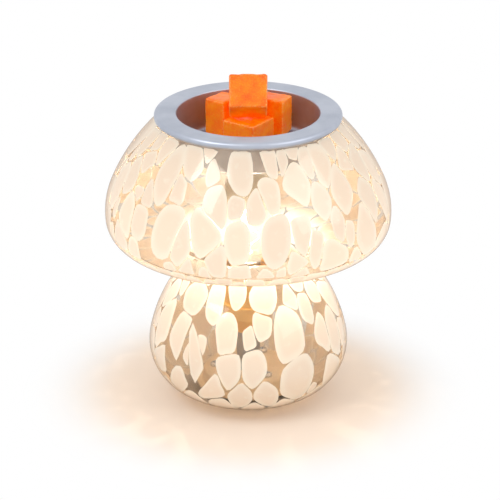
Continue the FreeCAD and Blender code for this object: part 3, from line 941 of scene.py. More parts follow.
    def build(self, glass: Material) -> Piece:
        """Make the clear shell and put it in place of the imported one.

        Args:
            glass: Material of the clear glass.

        Returns:
            The shell's object.
        """
        shell = put_piece("clear_glass_shell", self.shell())
        dress(shell, glass)
        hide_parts("glass_body")
        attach(shell, "lamp_base")
        return shell


class Chip(NamedTuple):
    """A spot or a clear place in the front view: image pixels, and its lean in degrees."""

    across: float
    down: float
    half_width: float
    half_height: float
    lean: float


class Spot(NamedTuple):
    """A spot on the glass: run along the section, angle round it, and half sizes in mm."""

    run: float
    angle: float
    sizes: Array


@dataclass
class FusedSpots:
    """White frit spots fused into the wall, each a thin lens under a clear cover of glass.

    Seen from the front, spots and clear places lie where the tables of the zone say. The rest
    is filled at random, roomiest place first. Each spot then grows until it nearly meets its
    neighbours, as chips do that soften side by side in the heat.

    A spot's half width is drawn from least to most, and it is taller than wide by the stretch.
    Rows are runs along the section in millimetres. Turns are radians, front_angles degrees.
    """

    glass: GlassBody
    zone: str
    first_row: float
    last_row: float
    front: list[Row]
    bare: list[Row]
    seed: int
    least: float = 2.3
    most: float = 8.2
    gap: float = 0.35
    growth: float = 1.75
    stretch: float = 1.8
    longest: float = 2.4
    nearby: float = 45.0
    nearby_turn: float = 1.6
    apart: float = 0.01
    least_line: float = 0.5
    corner_power: int = 8
    front_steps: tuple[int, int] = (360, 528)
    front_angles: Range = (-178.0, -2.0)
    tries: int = 5000
    most_spots: int = 400
    end_room: float = 1.5
    slope_step: float = 0.3
    outline_steps: int = 20
    outline_shares: Row = (1.0, 0.5, 0.05)
    widths: Range = (0.5, 1.0)
    tallness: Range = (0.85, 1.08)
    lean_spread: float = 0.18
    squareness: Range = (2.0, 2.3)
    taper_spread: float = 0.06
    wave_spread: float = 0.02
    lowest: float = 3.0
    below_rim: float = 0.3
    # The lamp's height and the even share set the painted glow of the spots.
    lamp_height: float = 92.0
    even_share: float = 0.1
    rings: int = 6
    ring_crowding: float = 0.8
    sides: int = 26
    cover: float = 0.12
    height: float = 0.1
    height_power: int = 6
    depth: float = 0.45
    depth_power: int = 8
    line_length: Array = field(init=False)
    line_points: Array = field(init=False)
    line_slope: Array = field(init=False)

    def __post_init__(self) -> None:
        """Measure the glass line once: its length, its points and its direction."""
        self.line_length = self.glass.runs()
        self.line_points = self.glass.line(0.0)
        slope = np.gradient(self.line_points, self.line_length, axis=0)
        self.line_slope = slope / np.linalg.norm(slope, axis=1, keepdims=True)

    def on_glass(self, run: Array, angle: Array, rise: Array | float = 0.0) -> Array:
        """Place on the glass by the run along its section and the angle round it.

        Args:
            run: Distance along the section from the floor.
            angle: Angle round the axis.
            rise: How far above the outer face.

        Returns:
            Points (x, y, z).
        """
        r = np.interp(run, self.line_length, self.line_points[:, 0])
        z = np.interp(run, self.line_length, self.line_points[:, 1])
        slope_r = np.interp(run, self.line_length, self.line_slope[:, 0])
        slope_z = np.interp(run, self.line_length, self.line_slope[:, 1])
        r = r + rise * slope_z
        z = z - rise * slope_r
        return np.stack([r * np.cos(angle), r * np.sin(angle), z], axis=-1)

    def radius_at(self, run: Array) -> Array:
        """Radius of the glass at a run along its section."""
        return np.interp(run, self.line_length, self.line_points[:, 0])

    def hand_placed(self, table: list[Row]) -> list[Spot]:
        """Find where spots of the front view lie on the glass.

        A dense grid of places on the front of the glass is projected into the image. Each
        spot takes the nearest place, and the change of the image with the two directions on
        the glass turns its half sizes in pixels into half sizes in millimetres.

        Args:
            table: Middle, half sizes and lean of each spot in the front view.

        Returns:
            The spots that lie within a few pixels of a place on this zone.
        """
        rows, columns = self.front_steps
        run = np.linspace(self.first_row, self.last_row, rows)[:, None]
        angle = np.radians(np.linspace(*self.front_angles, columns))[None, :]
        run, angle = np.broadcast_arrays(run, angle)
        # The step is in millimetres. Places that face away count as far off in the image.
        step, farthest, edge_on, turned_off = 0.5, 3.0, -0.02, 1000.0
        here = View.pixels(self.on_glass(run, angle))
        up = View.pixels(self.on_glass(run + step, angle))
        side = View.pixels(self.on_glass(run, angle + step / self.radius_at(run)))
        change = np.stack([side - here, up - here], axis=-1) / step
        facing = change[..., 0, 0] * change[..., 1, 1] - change[..., 0, 1] * change[..., 1, 0]
        found = []
        for chip in (Chip(*row) for row in table):
            away = np.hypot(here[..., 0] - chip.across, here[..., 1] - chip.down)
            away = away + turned_off * (facing > edge_on)
            spot = np.unravel_index(np.argmin(away), away.shape)
            if away[spot] > farthest:
                continue
            c, s = math.cos(math.radians(chip.lean)), math.sin(math.radians(chip.lean))
            # Image axes: right and down. A positive lean carries the top of the spot to the right.
            axes = np.array([[chip.half_width * c, chip.half_height * s],
                             [chip.half_width * s, -chip.half_height * c]])
            sizes = np.linalg.solve(change[spot], axes)
            reach = float(np.linalg.norm(sizes, axis=0).max())
            sizes *= min(1.0, self.longest * self.most / reach)
            found.append(Spot(float(run[spot]), float(angle[spot]), sizes))
        return found

    def outline(self, spot: Spot, shape: Array, reach: Array, around: Array,
                limit: Array | float = 1.0) -> tuple[Array, Array]:
        """Map a disc to a spot: size times (cos t, sin t), squared off, tapered and uneven.

        Args:
            spot: Middle and half sizes of the spot.
            shape: Squareness, taper and the waves of the spot's edge.
            reach: Distance from the middle, 0 to 1.
            around: Angle in the disc.
            limit: Share of its size that the spot has in each direction.

        Returns:
            Run and angle of each point on the glass.
        """
        square, taper, wave, phase, second = shape
        c, s = np.cos(around), np.sin(around)
        edge = limit * (np.abs(c) ** square + np.abs(s) ** square) ** (-1.0 / square)
        edge = edge * (1.0 + wave * np.cos(2 * around + phase)
                       + second * np.cos(3 * around - phase))
        x = reach * edge * c * (1.0 - taper * edge * s * reach)
        y = reach * edge * s
        along = spot.sizes[0, 0] * x + spot.sizes[0, 1] * y
        rise = spot.sizes[1, 0] * x + spot.sizes[1, 1] * y
        row = np.clip(spot.run + rise, self.lowest, self.line_length[-1] - self.below_rim)
        return row, spot.angle + along / self.radius_at(row)

    def packed(self, placed: list[Spot], shapes: list[Array],
               random: np.random.Generator) -> list[Spot]:
        """Fill the rest of the zone: of many random places, the roomiest takes the next spot.

        Room is the distance to the nearest edge point of the spots so far, in the glass's own
        two directions, with the upright one shortened, so that spots come out tall.

        Args:
            placed: The spots that are there already.
            shapes: The shape numbers of every spot so far; new ones are added.
            random: Source of the random numbers.

        Returns:
            The new spots.
        """
        around = np.linspace(0.0, FULL_TURN, self.outline_steps, endpoint=False)
        # More places than are needed, because where the glass is narrow few of them stay.
        run = random.uniform(self.first_row, self.last_row, 3 * self.tries)
        keep = random.uniform(0.0, self.radius_at(run).max(), len(run)) < self.radius_at(run)
        run = run[keep][:self.tries]
        angle = random.uniform(-math.pi, math.pi, len(run))
        here = self.on_glass(run, angle)
        along = np.stack([-np.sin(angle), np.cos(angle), np.zeros(len(run))], axis=-1)
        step = self.slope_step
        up = self.on_glass(run + step, angle) - self.on_glass(run - step, angle)
        up = up / np.linalg.norm(up, axis=1, keepdims=True)
        out = np.cross(along, up)
        to_end = np.minimum(run - self.first_row, self.last_row - run)
        room = to_end / self.stretch + self.end_room

        def shrink(spot: Spot, shape: Array) -> Array:
            """Work out the room that is left once one more spot is there.

            Args:
                spot: Middle and half sizes of that spot.
                shape: Its shape numbers.

            Returns:
                The room at every place.
            """
            rings = [self.on_glass(*self.outline(spot, shape, np.full(1, share), around))
                     for share in self.outline_shares]
            off = np.concatenate(rings)[None] - here[:, None]
            x = np.einsum("ijk,ik->ij", off, along)
            y = np.einsum("ijk,ik->ij", off, up) / self.stretch
            n = np.einsum("ijk,ik->ij", off, out)
            return np.minimum(room, np.sqrt(x * x + y * y + n * n).min(axis=1) - self.gap)

        for spot, shape in zip(placed, shapes):
            room = shrink(spot, shape)
        added = []
        while len(added) < self.most_spots:
            best = int(np.argmax(np.minimum(room, self.most)))
            if room[best] < self.least:
                break
            wide = min(float(room[best]), float(random.uniform(*self.widths)) * self.most)
            high = wide * self.stretch * float(random.uniform(*self.tallness))
            lean = float(random.normal(0.0, self.lean_spread))
            sizes = np.array([[wide * math.cos(lean), high * math.sin(lean)],
                              [-wide * math.sin(lean), high * math.cos(lean)]])
            shapes.append(self.one_shape(random))
            added.append(Spot(float(run[best]), float(angle[best]), sizes))
            room = shrink(added[-1], shapes[-1])
        return added

    def grown(self, spots: list[Spot], number: int) -> Array:
        """Let one spot grow until it nearly meets its neighbours and the ends of its zone.

        In a plane with the upright direction shortened, the line between two spots stands
        across their centre line, at a distance shared out by their radii along it. With each
        direction's overshoot beyond each such line as a ratio, the spot's share there is
        growth (1 + sum ratio^power)^(-1/power), which rounds the corners.

        Args:
            spots: All spots and bare places of the zone.
            number: Which spot grows.

        Returns:
            Share of the spot's own size in each of the lens's directions.
        """
        run = np.array([spot.run for spot in spots])
        angle = np.array([spot.angle for spot in spots])
        squash = np.array([[1.0], [1.0 / self.stretch]])
        sizes = np.array([spot.sizes * squash for spot in spots])
        turn = (angle - angle[number] + math.pi) % FULL_TURN - math.pi
        radius = (self.radius_at(run) + self.radius_at(run[number])) / 2
        off = np.stack([turn * radius, (run - run[number]) / self.stretch], axis=-1)
        away = np.linalg.norm(off, axis=1)
        near = (away > self.apart) & (away < self.nearby) & (np.abs(turn) < self.nearby_turn)
        way = off[near] / away[near, None]
        own = 1.0 / np.linalg.norm(np.linalg.solve(sizes[number], way.T), axis=0)
        theirs = 1.0 / np.linalg.norm(np.linalg.solve(sizes[near], way[..., None])[..., 0], axis=1)
        line = np.maximum(away[near] * own / (own + theirs) - self.gap / 2, self.least_line)
        around = np.linspace(0.0, FULL_TURN, self.sides, endpoint=False)
        disc = np.stack([np.cos(around), np.sin(around)])
        edge = self.growth * (sizes[number] @ disc)
        ratio = np.maximum(way @ edge, 0.0) / line[:, None]
        above = max((self.last_row - run[number]) / self.stretch, self.least_line)
        below = max((run[number] - self.first_row) / self.stretch, self.least_line)
        ends = np.stack([edge[1] / above, -edge[1] / below])
        ratio = np.concatenate([ratio, np.maximum(ends, 0.0)])
        power = self.corner_power
        return self.growth * (1.0 + (ratio ** power).sum(axis=0)) ** (-1 / power)

    def one_shape(self, random: np.random.Generator) -> Array:
        """Draw the shape numbers of one spot: squareness, taper and the waves of its edge."""
        return np.array([random.uniform(*self.squareness), random.normal(0.0, self.taper_spread),
                         random.normal(0.0, self.wave_spread), random.uniform(0.0, FULL_TURN),
                         random.normal(0.0, self.wave_spread)])

    def lens(self, spot: Spot, shape: Array, limit: Array) -> tuple[Surface, Array]:
        """Make one spot as a closed lens: a top sheet on the glass and a bottom one inside it.

        The top lies under a thin clear cover, at cover + height x share^6 below the outer face,
        and the bottom at cover + height + depth (1 - share^8). The two sheets share their edge.

        Args:
            spot: Middle and half sizes of the spot.
            shape: The spot's shape numbers.
            limit: Share of its size that the spot has in each direction.

        Returns:
            The lens and the share of the way to the edge at each point.
        """
        # The rings crowd towards the edge, where the lens curves most.
        share = np.linspace(0.0, 1.0, self.rings + 1)[1:] ** self.ring_crowding
        turn = np.linspace(0.0, FULL_TURN, self.sides, endpoint=False)
        reach, around = np.meshgrid(share, turn, indexing="ij")
        run, angle = self.outline(spot, shape, reach, around, limit)
        low = self.cover + self.height
        top = self.on_glass(run, angle, -self.cover - self.height * reach ** self.height_power)
        sunk = self.depth * (1.0 - reach ** self.depth_power)
        bottom = self.on_glass(run, angle, -low - sunk)[:-1]
        middle = (np.array([spot.run]), np.array([spot.angle]))
        tip = self.on_glass(*middle, -self.cover)
        root = self.on_glass(*middle, -low - self.depth)
        points = np.concatenate([top.reshape(-1, 3), bottom.reshape(-1, 3), tip, root])
        count = self.rings * self.sides
        upper = grid_quads(self.rings, self.sides, False, True)[:, [0, 3, 2, 1]]
        lower = grid_quads(self.rings - 1, self.sides, False, True) + count
        j = np.arange(self.sides)
        after = (j + 1) % self.sides
        last_top = (self.rings - 1) * self.sides
        last_low = count + (self.rings - 2) * self.sides
        rim = np.stack([last_top + j, last_low + j, last_low + after, last_top + after], axis=-1)
        fan_top = np.stack([np.full(self.sides, len(points) - 2), j, after], axis=-1)
        low_middle = np.full(self.sides, len(points) - 1)
        fan_low = np.stack([low_middle, count + after, count + j], axis=-1)
        shares = np.concatenate([reach.ravel(), reach[:-1].ravel(), [0.0, 0.0]])
        quads = np.concatenate([upper, lower, rim])
        return Surface(points, quads, np.concatenate([fan_top, fan_low])), shares

    def painted_glow_at(self, points: Array) -> Array:
        """Painted glow for the spots, in place of the lamp's warm light through the glass: an even
        share and (cosine x base radius / distance)^2.

        The even share stands in for light that other spots throw back. The cosine counts twice,
        because light that comes in at a slant also has more of the chip to go through.

        Args:
            points: Places on the glass, in millimetres.

        Returns:
            One number each, about 1 at the base's radius level with the lamp.
        """
        to_lamp = np.array([0.0, 0.0, self.lamp_height]) - points
        away = np.linalg.norm(to_lamp, axis=1)
        across = np.hypot(points[:, 0], points[:, 1]) / away
        return self.even_share + (across * self.glass.base_radius / away) ** 2

    def build(self, frit: Material) -> Piece:
        """Make all the spots of the zone as one piece.

        Args:
            frit: Material of the white spots.

        Returns:
            The piece.
        """
        random = np.random.default_rng(self.seed)
        bare = self.hand_placed(self.bare)
        spots = self.hand_placed(self.front)
        shapes = [self.one_shape(random) for _ in bare + spots]
        spots += self.packed(bare + spots, shapes, random)
        lenses = [self.lens(spot, shape, self.grown(spots + bare, number))
                  for number, (spot, shape) in enumerate(zip(spots, shapes[len(bare):]))]
        surface = joined([lens for lens, _ in lenses])
        rim = np.concatenate([shares for _, shares in lenses])
        tone = np.concatenate([np.full(len(shares), random.uniform()) for _, shares in lenses])
        # The glow mark is painted light: the strength of each spot's painted glow.
        marks = {"rim": rim, "tone": tone, "glow": self.painted_glow_at(surface.points)}
        piece = put_piece("frit_spots_" + self.zone, surface, marks, sharp=80.0)
        dress(piece, frit)
        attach(piece, "lamp_base")
        log.info("%s: %d spots", piece.name, len(spots))
        return piece


@dataclass
class MeltingDish:
    """Turned dish with a wide flat flange, a steep bowl and a rib that centres it."""

    top: float = 163.0
    floor: float = 143.0
    wall: float = 2.0
    flange: float = 4.0
    radius: float = 50.0
    lip_radius: float = 38.2
    floor_radius: float = 36.6
    edge_round: float = 1.8
    lip_round: float = 1.2
    floor_round: float = 3.0
    rib_radius: float = 43.9
    rib_width: float = 2.0
    rib_depth: float = 2.5
    turns: int = 192
    arc_step: float = 9.0
    run_step: float = 4.0
    sharp: float = 45.0

    def build(self, metal: Material) -> Piece:
        """Turn the dish from its half section, from the middle of its underside outward.

        Args:
            metal: Material of the dish.

        Returns:
            The dish.
        """
        under = self.top - self.flange
        low = self.floor - self.wall
        inside = self.rib_radius - self.rib_width
        corners = [
            (0.0, low, 0.0),
            (self.floor_radius + self.wall, low, self.floor_round + self.wall),
            (self.lip_radius + self.wall, under, self.wall / 2),
            (inside, under, 0.0),
            (inside, under - self.rib_depth, self.rib_width / 4),
            (self.rib_radius, under - self.rib_depth, self.rib_width / 4),
            (self.rib_radius, under, 0.0),
            (self.radius, under, self.edge_round),
            (self.radius, self.top, self.edge_round),
            (self.lip_radius, self.top, self.lip_round),
            (self.floor_radius, self.floor, self.floor_round),
            (0.0, self.floor, 0.0),
        ]
        section = dense(rounded_section(corners, self.arc_step), self.run_step, False)
        dish = put_piece("satin_melting_dish", revolved(section, self.turns, False),
                         sharp=self.sharp)
        dress(dish, metal)
        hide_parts("melting_dish")
        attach(dish, "dish")
        return dish


@dataclass
class WaxBlock:
    """One snapped block of wax with soft edges, small dents and slightly uneven faces."""

    name: str
    size: tuple[float, float, float]
    seed: int
    rounding: float = 1.3
    steps: int = 44
    crowding: float = 0.75
    waves: tuple[Row, ...] = ((7.0, 0.16, 7), (2.6, 0.10, 10))
    wave_pitch: float = 2.2
    dents: int = 60
    dent_depth: float = 0.22
    dent_widths: Range = (0.5, 1.3)
    sunk_all: float = 0.12
    most_sunk: float = 0.6
    rubbed_reach: float = 1.0
    far_out: float = 9.0
    merged_digits: int = 5

    def grids(self) -> Surface:
        """Cover the block's sides with six grids whose lines crowd towards the edges.

        Points that two grids share are merged, so the block is closed.

        Returns:
            The sharp block about the origin.
        """
        line = np.sin(np.linspace(-1.0, 1.0, self.steps) * math.pi / 2)
        line = np.sign(line) * np.abs(line) ** self.crowding
        a, b = np.meshgrid(line, line, indexing="ij")
        faces = []
        for axis in range(3):
            for side in (-1.0, 1.0):
                face = np.zeros((self.steps, self.steps, 3))
                face[..., axis] = side
                face[..., (axis + 1) % 3] = b if side > 0 else a
                face[..., (axis + 2) % 3] = a if side > 0 else b
                faces.append(face.reshape(-1, 3))
        points = np.concatenate(faces) * (np.array(self.size) / 2)
        grid = grid_quads(self.steps, self.steps, False, False)
        quads = np.concatenate([grid + k * self.steps ** 2 for k in range(6)])
        _, first, number = np.unique(np.round(points, self.merged_digits), axis=0,
                                     return_index=True, return_inverse=True)
        return Surface(points[first], number.ravel()[quads])

    def sunk(self, points: Array) -> Array:
        """Work out how deep each point lies: slow waves, and dents of depth e^-(distance/width)^2.

        Args:
            points: Places on the rounded block.

        Returns:
            Depth of each point below the plain block, in millimetres.
        """
        random = np.random.default_rng(self.seed)
        depth = np.zeros(len(points))
        for reach, height, count in self.waves:
            ways = random.normal(0.0, 1.0 / reach, (count, 3))
            phases = random.uniform(0.0, FULL_TURN, count)
            wave = np.sin(points @ ways.T * self.wave_pitch + phases).mean(axis=1)
            depth += height * wave * math.sqrt(count)
        half = np.array(self.size) / 2
        dents = random.uniform(-half, half, (self.dents, 3))
        # One axis of each dent's place goes far out, and the clip brings it back to a side.
        dents[np.arange(self.dents), random.integers(0, 3, self.dents)] *= self.far_out
        dents = np.clip(dents, -half, half)
        away = np.linalg.norm(points[:, None] - dents[None], axis=2)
        width = random.uniform(*self.dent_widths, self.dents)
        depth += (self.dent_depth * np.exp(-(away / width) ** 2)).max(axis=1) + self.sunk_all
        return np.clip(depth, 0.0, self.most_sunk)

    def soft_box(self) -> tuple[Surface, Array]:
        """Round a box: the nearest core point + r times the unit way from it, face by face.

        Returns:
            The block from its first corner at the origin, and how near each point is to an edge.
        """
        block = self.grids()
        half = np.array(self.size) / 2
        core = half - self.rounding
        middle = np.clip(block.points, -core, core)
        way = block.points - middle
        way = way / np.linalg.norm(way, axis=1, keepdims=True)
        to_edge = np.sort(half - np.abs(block.points), axis=1)[:, 1]
        rounded = middle + way * self.rounding
        rounded = rounded - way * self.sunk(rounded)[:, None]
        rubbed = np.exp(-np.clip(to_edge, 0.0, None) / self.rubbed_reach)
        return block.mapped(rounded + half), rubbed

    def build(self, wax: Material, turn: Array, place: Array) -> Piece:
        """Set the block down in the dish.

        Args:
            wax: Material of the wax.
            turn: 3 by 3 table that turns the block about its first corner.
            place: Where that corner goes.

        Returns:
            The block.
        """
        surface, rubbed = self.soft_box()
        block = put_piece("orange_" + self.name, surface.mapped(surface.points @ turn.T + place),
                          {"rubbed": rubbed}, sharp=80.0)
        dress(block, wax)
        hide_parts(self.name)
        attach(block, "wax_blocks")
        return block


@dataclass
class WaxHeap:
    """Four blocks in the dish: one flat in front, two on edge, and one leaning on top."""

    side: float = 20.5
    thickness: float = 13.0
    short_side: float = 15.5
    rest: float = 143.3
    gap: float = 0.3
    rounding: float = 1.3
    front: tuple[float, float, float] = (2.7, -6.5, 55.0)
    left: tuple[float, float, float] = (-13.2, 11.0, 53.0)
    right: tuple[float, float, float] = (18.7, 12.6, 66.0)
    top_edge: float = 7.7
    top_lean: float = 47.5

    @staticmethod
    def about(axis: int, angle: float) -> Array:
        """Work out a turn about the x or the z axis.

        Args:
            axis: 0 for x, and any other number for z.
            angle: The turn in degrees.

        Returns:
            The turn as a 3 by 3 table.
        """
        c, s = math.cos(math.radians(angle)), math.sin(math.radians(angle))
        if axis == 0:
            return np.array([[1.0, 0.0, 0.0], [0.0, c, -s], [0.0, s, c]])
        return np.array([[c, -s, 0.0], [s, c, 0.0], [0.0, 0.0, 1.0]])

    def build(self, wax: Material) -> list[Piece]:
        """Make the four blocks.

        Args:
            wax: Material of the wax.

        Returns:
            The blocks.
        """
        side, thin, short = self.side, self.thickness, self.short_side
        lying = [("wax_front", (side, side, thin), self.front, 3),
                 ("wax_left", (short, thin, side), self.left, 5),
                 ("wax_right", (thin, side, side), self.right, 8)]
        blocks = []
        for name, size, (x, y, turn), seed in lying:
            block = WaxBlock(name, size, seed)
            blocks.append(block.build(wax, self.about(2, turn), np.array([x, y, self.rest])))
        lean = self.about(0, -self.top_lean)
        corner = self.rounding * (math.sqrt(2.0) - 1.0)
        seat = self.rest + self.gap + thin - corner
        start = lean @ np.array([-side / 2, -thin, 0.0])
        top = WaxBlock("wax_top", (side, thin, side), 13)
        blocks.append(top.build(wax, lean, start + np.array([0.0, self.top_edge, seat])))
        return blocks


@dataclass
class Bulb:
    """Screw bulb: rolled thread on its cap and a coiled filament."""

    cap_radius: float = 6.8
    cap_wall: float = 0.4
    cap_bottom: float = 56.4
    cap_top: float = 77.4
    contact_radius: float = 3.2
    pitch: float = 2.8
    thread_depth: float = 0.38
    filament_height: float = 92.9
    filament_sag: float = 2.5
    filament_span: float = 12.0
    coil_radius: float = 0.4
    wire_radius: float = 0.1
    coil_turns: int = 26
    liner_inner: float = 7.1
    liner_wall: float = 0.4
    liner_bottom: float = 50.6
    liner_height: float = 18.0
    liner_foot: float = 4.4
    thread_start: float = 1.5
    thread_end: float = 0.6
    turns: int = 96
    rows: int = 110
    coil_steps: int = 14
    coil_sides: int = 6

    def rolled(self, outer: float, wall: float, bottom: float, top: float, foot: float,
               depth: float) -> Surface:
        """Cup with a rolled thread: radius - depth (1 - cos(2 pi z / pitch - a)) / 2.

        The thread fades out over one pitch at both ends. The inner face keeps the wall's
        thickness, and the foot turns inward.

        Args:
            outer: Largest radius.
            wall: Thickness of the sheet.
            bottom: Lowest height.
            top: Highest height.
            foot: Inner radius of the turned-in foot.
            depth: Depth of the thread.

        Returns:
            The closed cup.
        """
        turns = self.turns
        height = np.linspace(bottom + 2 * wall, top, self.rows)[:, None]
        angle = np.linspace(0.0, FULL_TURN, turns, endpoint=False)[None, :]
        fade = np.clip((height - bottom - self.thread_start) / self.pitch, 0, 1)
        fade = fade * np.clip((top - self.thread_end - height) / self.pitch, 0, 1)
        wave = depth * fade * (1 - np.cos(FULL_TURN * height / self.pitch - angle)) / 2
        outside = outer - wave
        sheets = [(np.full((1, turns), foot), np.full((1, turns), bottom)),
                  (np.full((1, turns), outer - 2 * wall), np.full((1, turns), bottom)),
                  (outside, np.broadcast_to(height, outside.shape)),
                  (outside[::-1] - wall, np.broadcast_to(height[::-1], outside.shape)),
                  (np.full((1, turns), foot), np.full((1, turns), bottom + wall))]
        r = np.concatenate([sheet[0] for sheet in sheets])
        z = np.concatenate([sheet[1] for sheet in sheets])
        a = np.broadcast_to(angle, r.shape)
        points = np.stack([r * np.cos(a), r * np.sin(a), z], axis=-1).reshape(-1, 3)
        return Surface(points, grid_quads(len(r), turns, True, True))

    def coil(self) -> Surface:
        """Carry a fine wire along a helix about the filament's bow.

        The bow is a parabola of the filament's span and sag. The helix is
        bow + radius (normal cos t + y sin t).

        Returns:
            The coiled wire.
        """
        t = np.linspace(-1.0, 1.0, self.coil_turns * self.coil_steps + 1)
        reach = self.filament_span / 2
        x = reach * t
        z = self.filament_height + self.filament_sag * (1 - t * t)
        slope = -2 * self.filament_sag * t / reach
        size = np.sqrt(1 + slope ** 2)
        turn = FULL_TURN * self.coil_turns * (t + 1) / 2
        radius = self.coil_radius - self.wire_radius
        across = radius * np.cos(turn)
        path = np.stack([x - slope / size * across, radius * np.sin(turn), z + across / size],
                        axis=-1)
        return tube(path, self.wire_radius, self.coil_sides)

    def build(self, metal: Material, liner: Material, wire: Material) -> list[Piece]:
        """Make the bulb's cap, the liner that it turns in and the filament.

        Args:
            metal: Material of the cap.
            liner: Material of the threaded liner.
            wire: Material of the filament.

        Returns:
            The three pieces.
        """
        cap = put_piece("rolled_bulb_cap", self.rolled(
            self.cap_radius, self.cap_wall, self.cap_bottom, self.cap_top,
            self.contact_radius + self.cap_wall, self.thread_depth))
        sleeve = put_piece("rolled_thread_liner", self.rolled(
            self.liner_inner + self.liner_wall, self.liner_wall, self.liner_bottom,
            self.liner_bottom + self.liner_height, self.liner_foot, self.thread_depth / 2))
        coil = put_piece("coiled_filament", self.coil())
        for piece, material, node, body, slot in (
                (cap, metal, "bulb_cap", "bulb", "bulb_cap_aluminium"),
                (sleeve, liner, "thread_liner", "lamp_base", "plated_brass"),
                (coil, wire, "bulb_filament", "bulb", "glowing_filament")):
            dress(piece, material)
            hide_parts(node)
            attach(piece, body)
        return [cap, sleeve, coil]


class SoftLamp(NamedTuple):
    """A square soft lamp that points at the object: place and side in metres, power in watts."""

    name: str
    place: tuple[float, float, float]
    side: float
    power: float
    target: tuple[float, float, float] = (0.0, 0.0, 0.09)

    def hang(self) -> Piece:
        """Hang the lamp.

        Returns:
            The lamp's object.
        """
        data = bpy.data.lights.new(self.name, "AREA")
        data.shape, data.size, data.energy = "SQUARE", self.side, self.power
        lamp = bpy.data.objects.new(self.name, data)
        back = Vector(self.place) - Vector(self.target)
        turn = back.to_track_quat("Z", "Y").to_matrix().to_4x4()
        lamp.matrix_world = Matrix.Translation(self.place) @ turn
        bpy.context.scene.collection.objects.link(lamp)
        return lamp


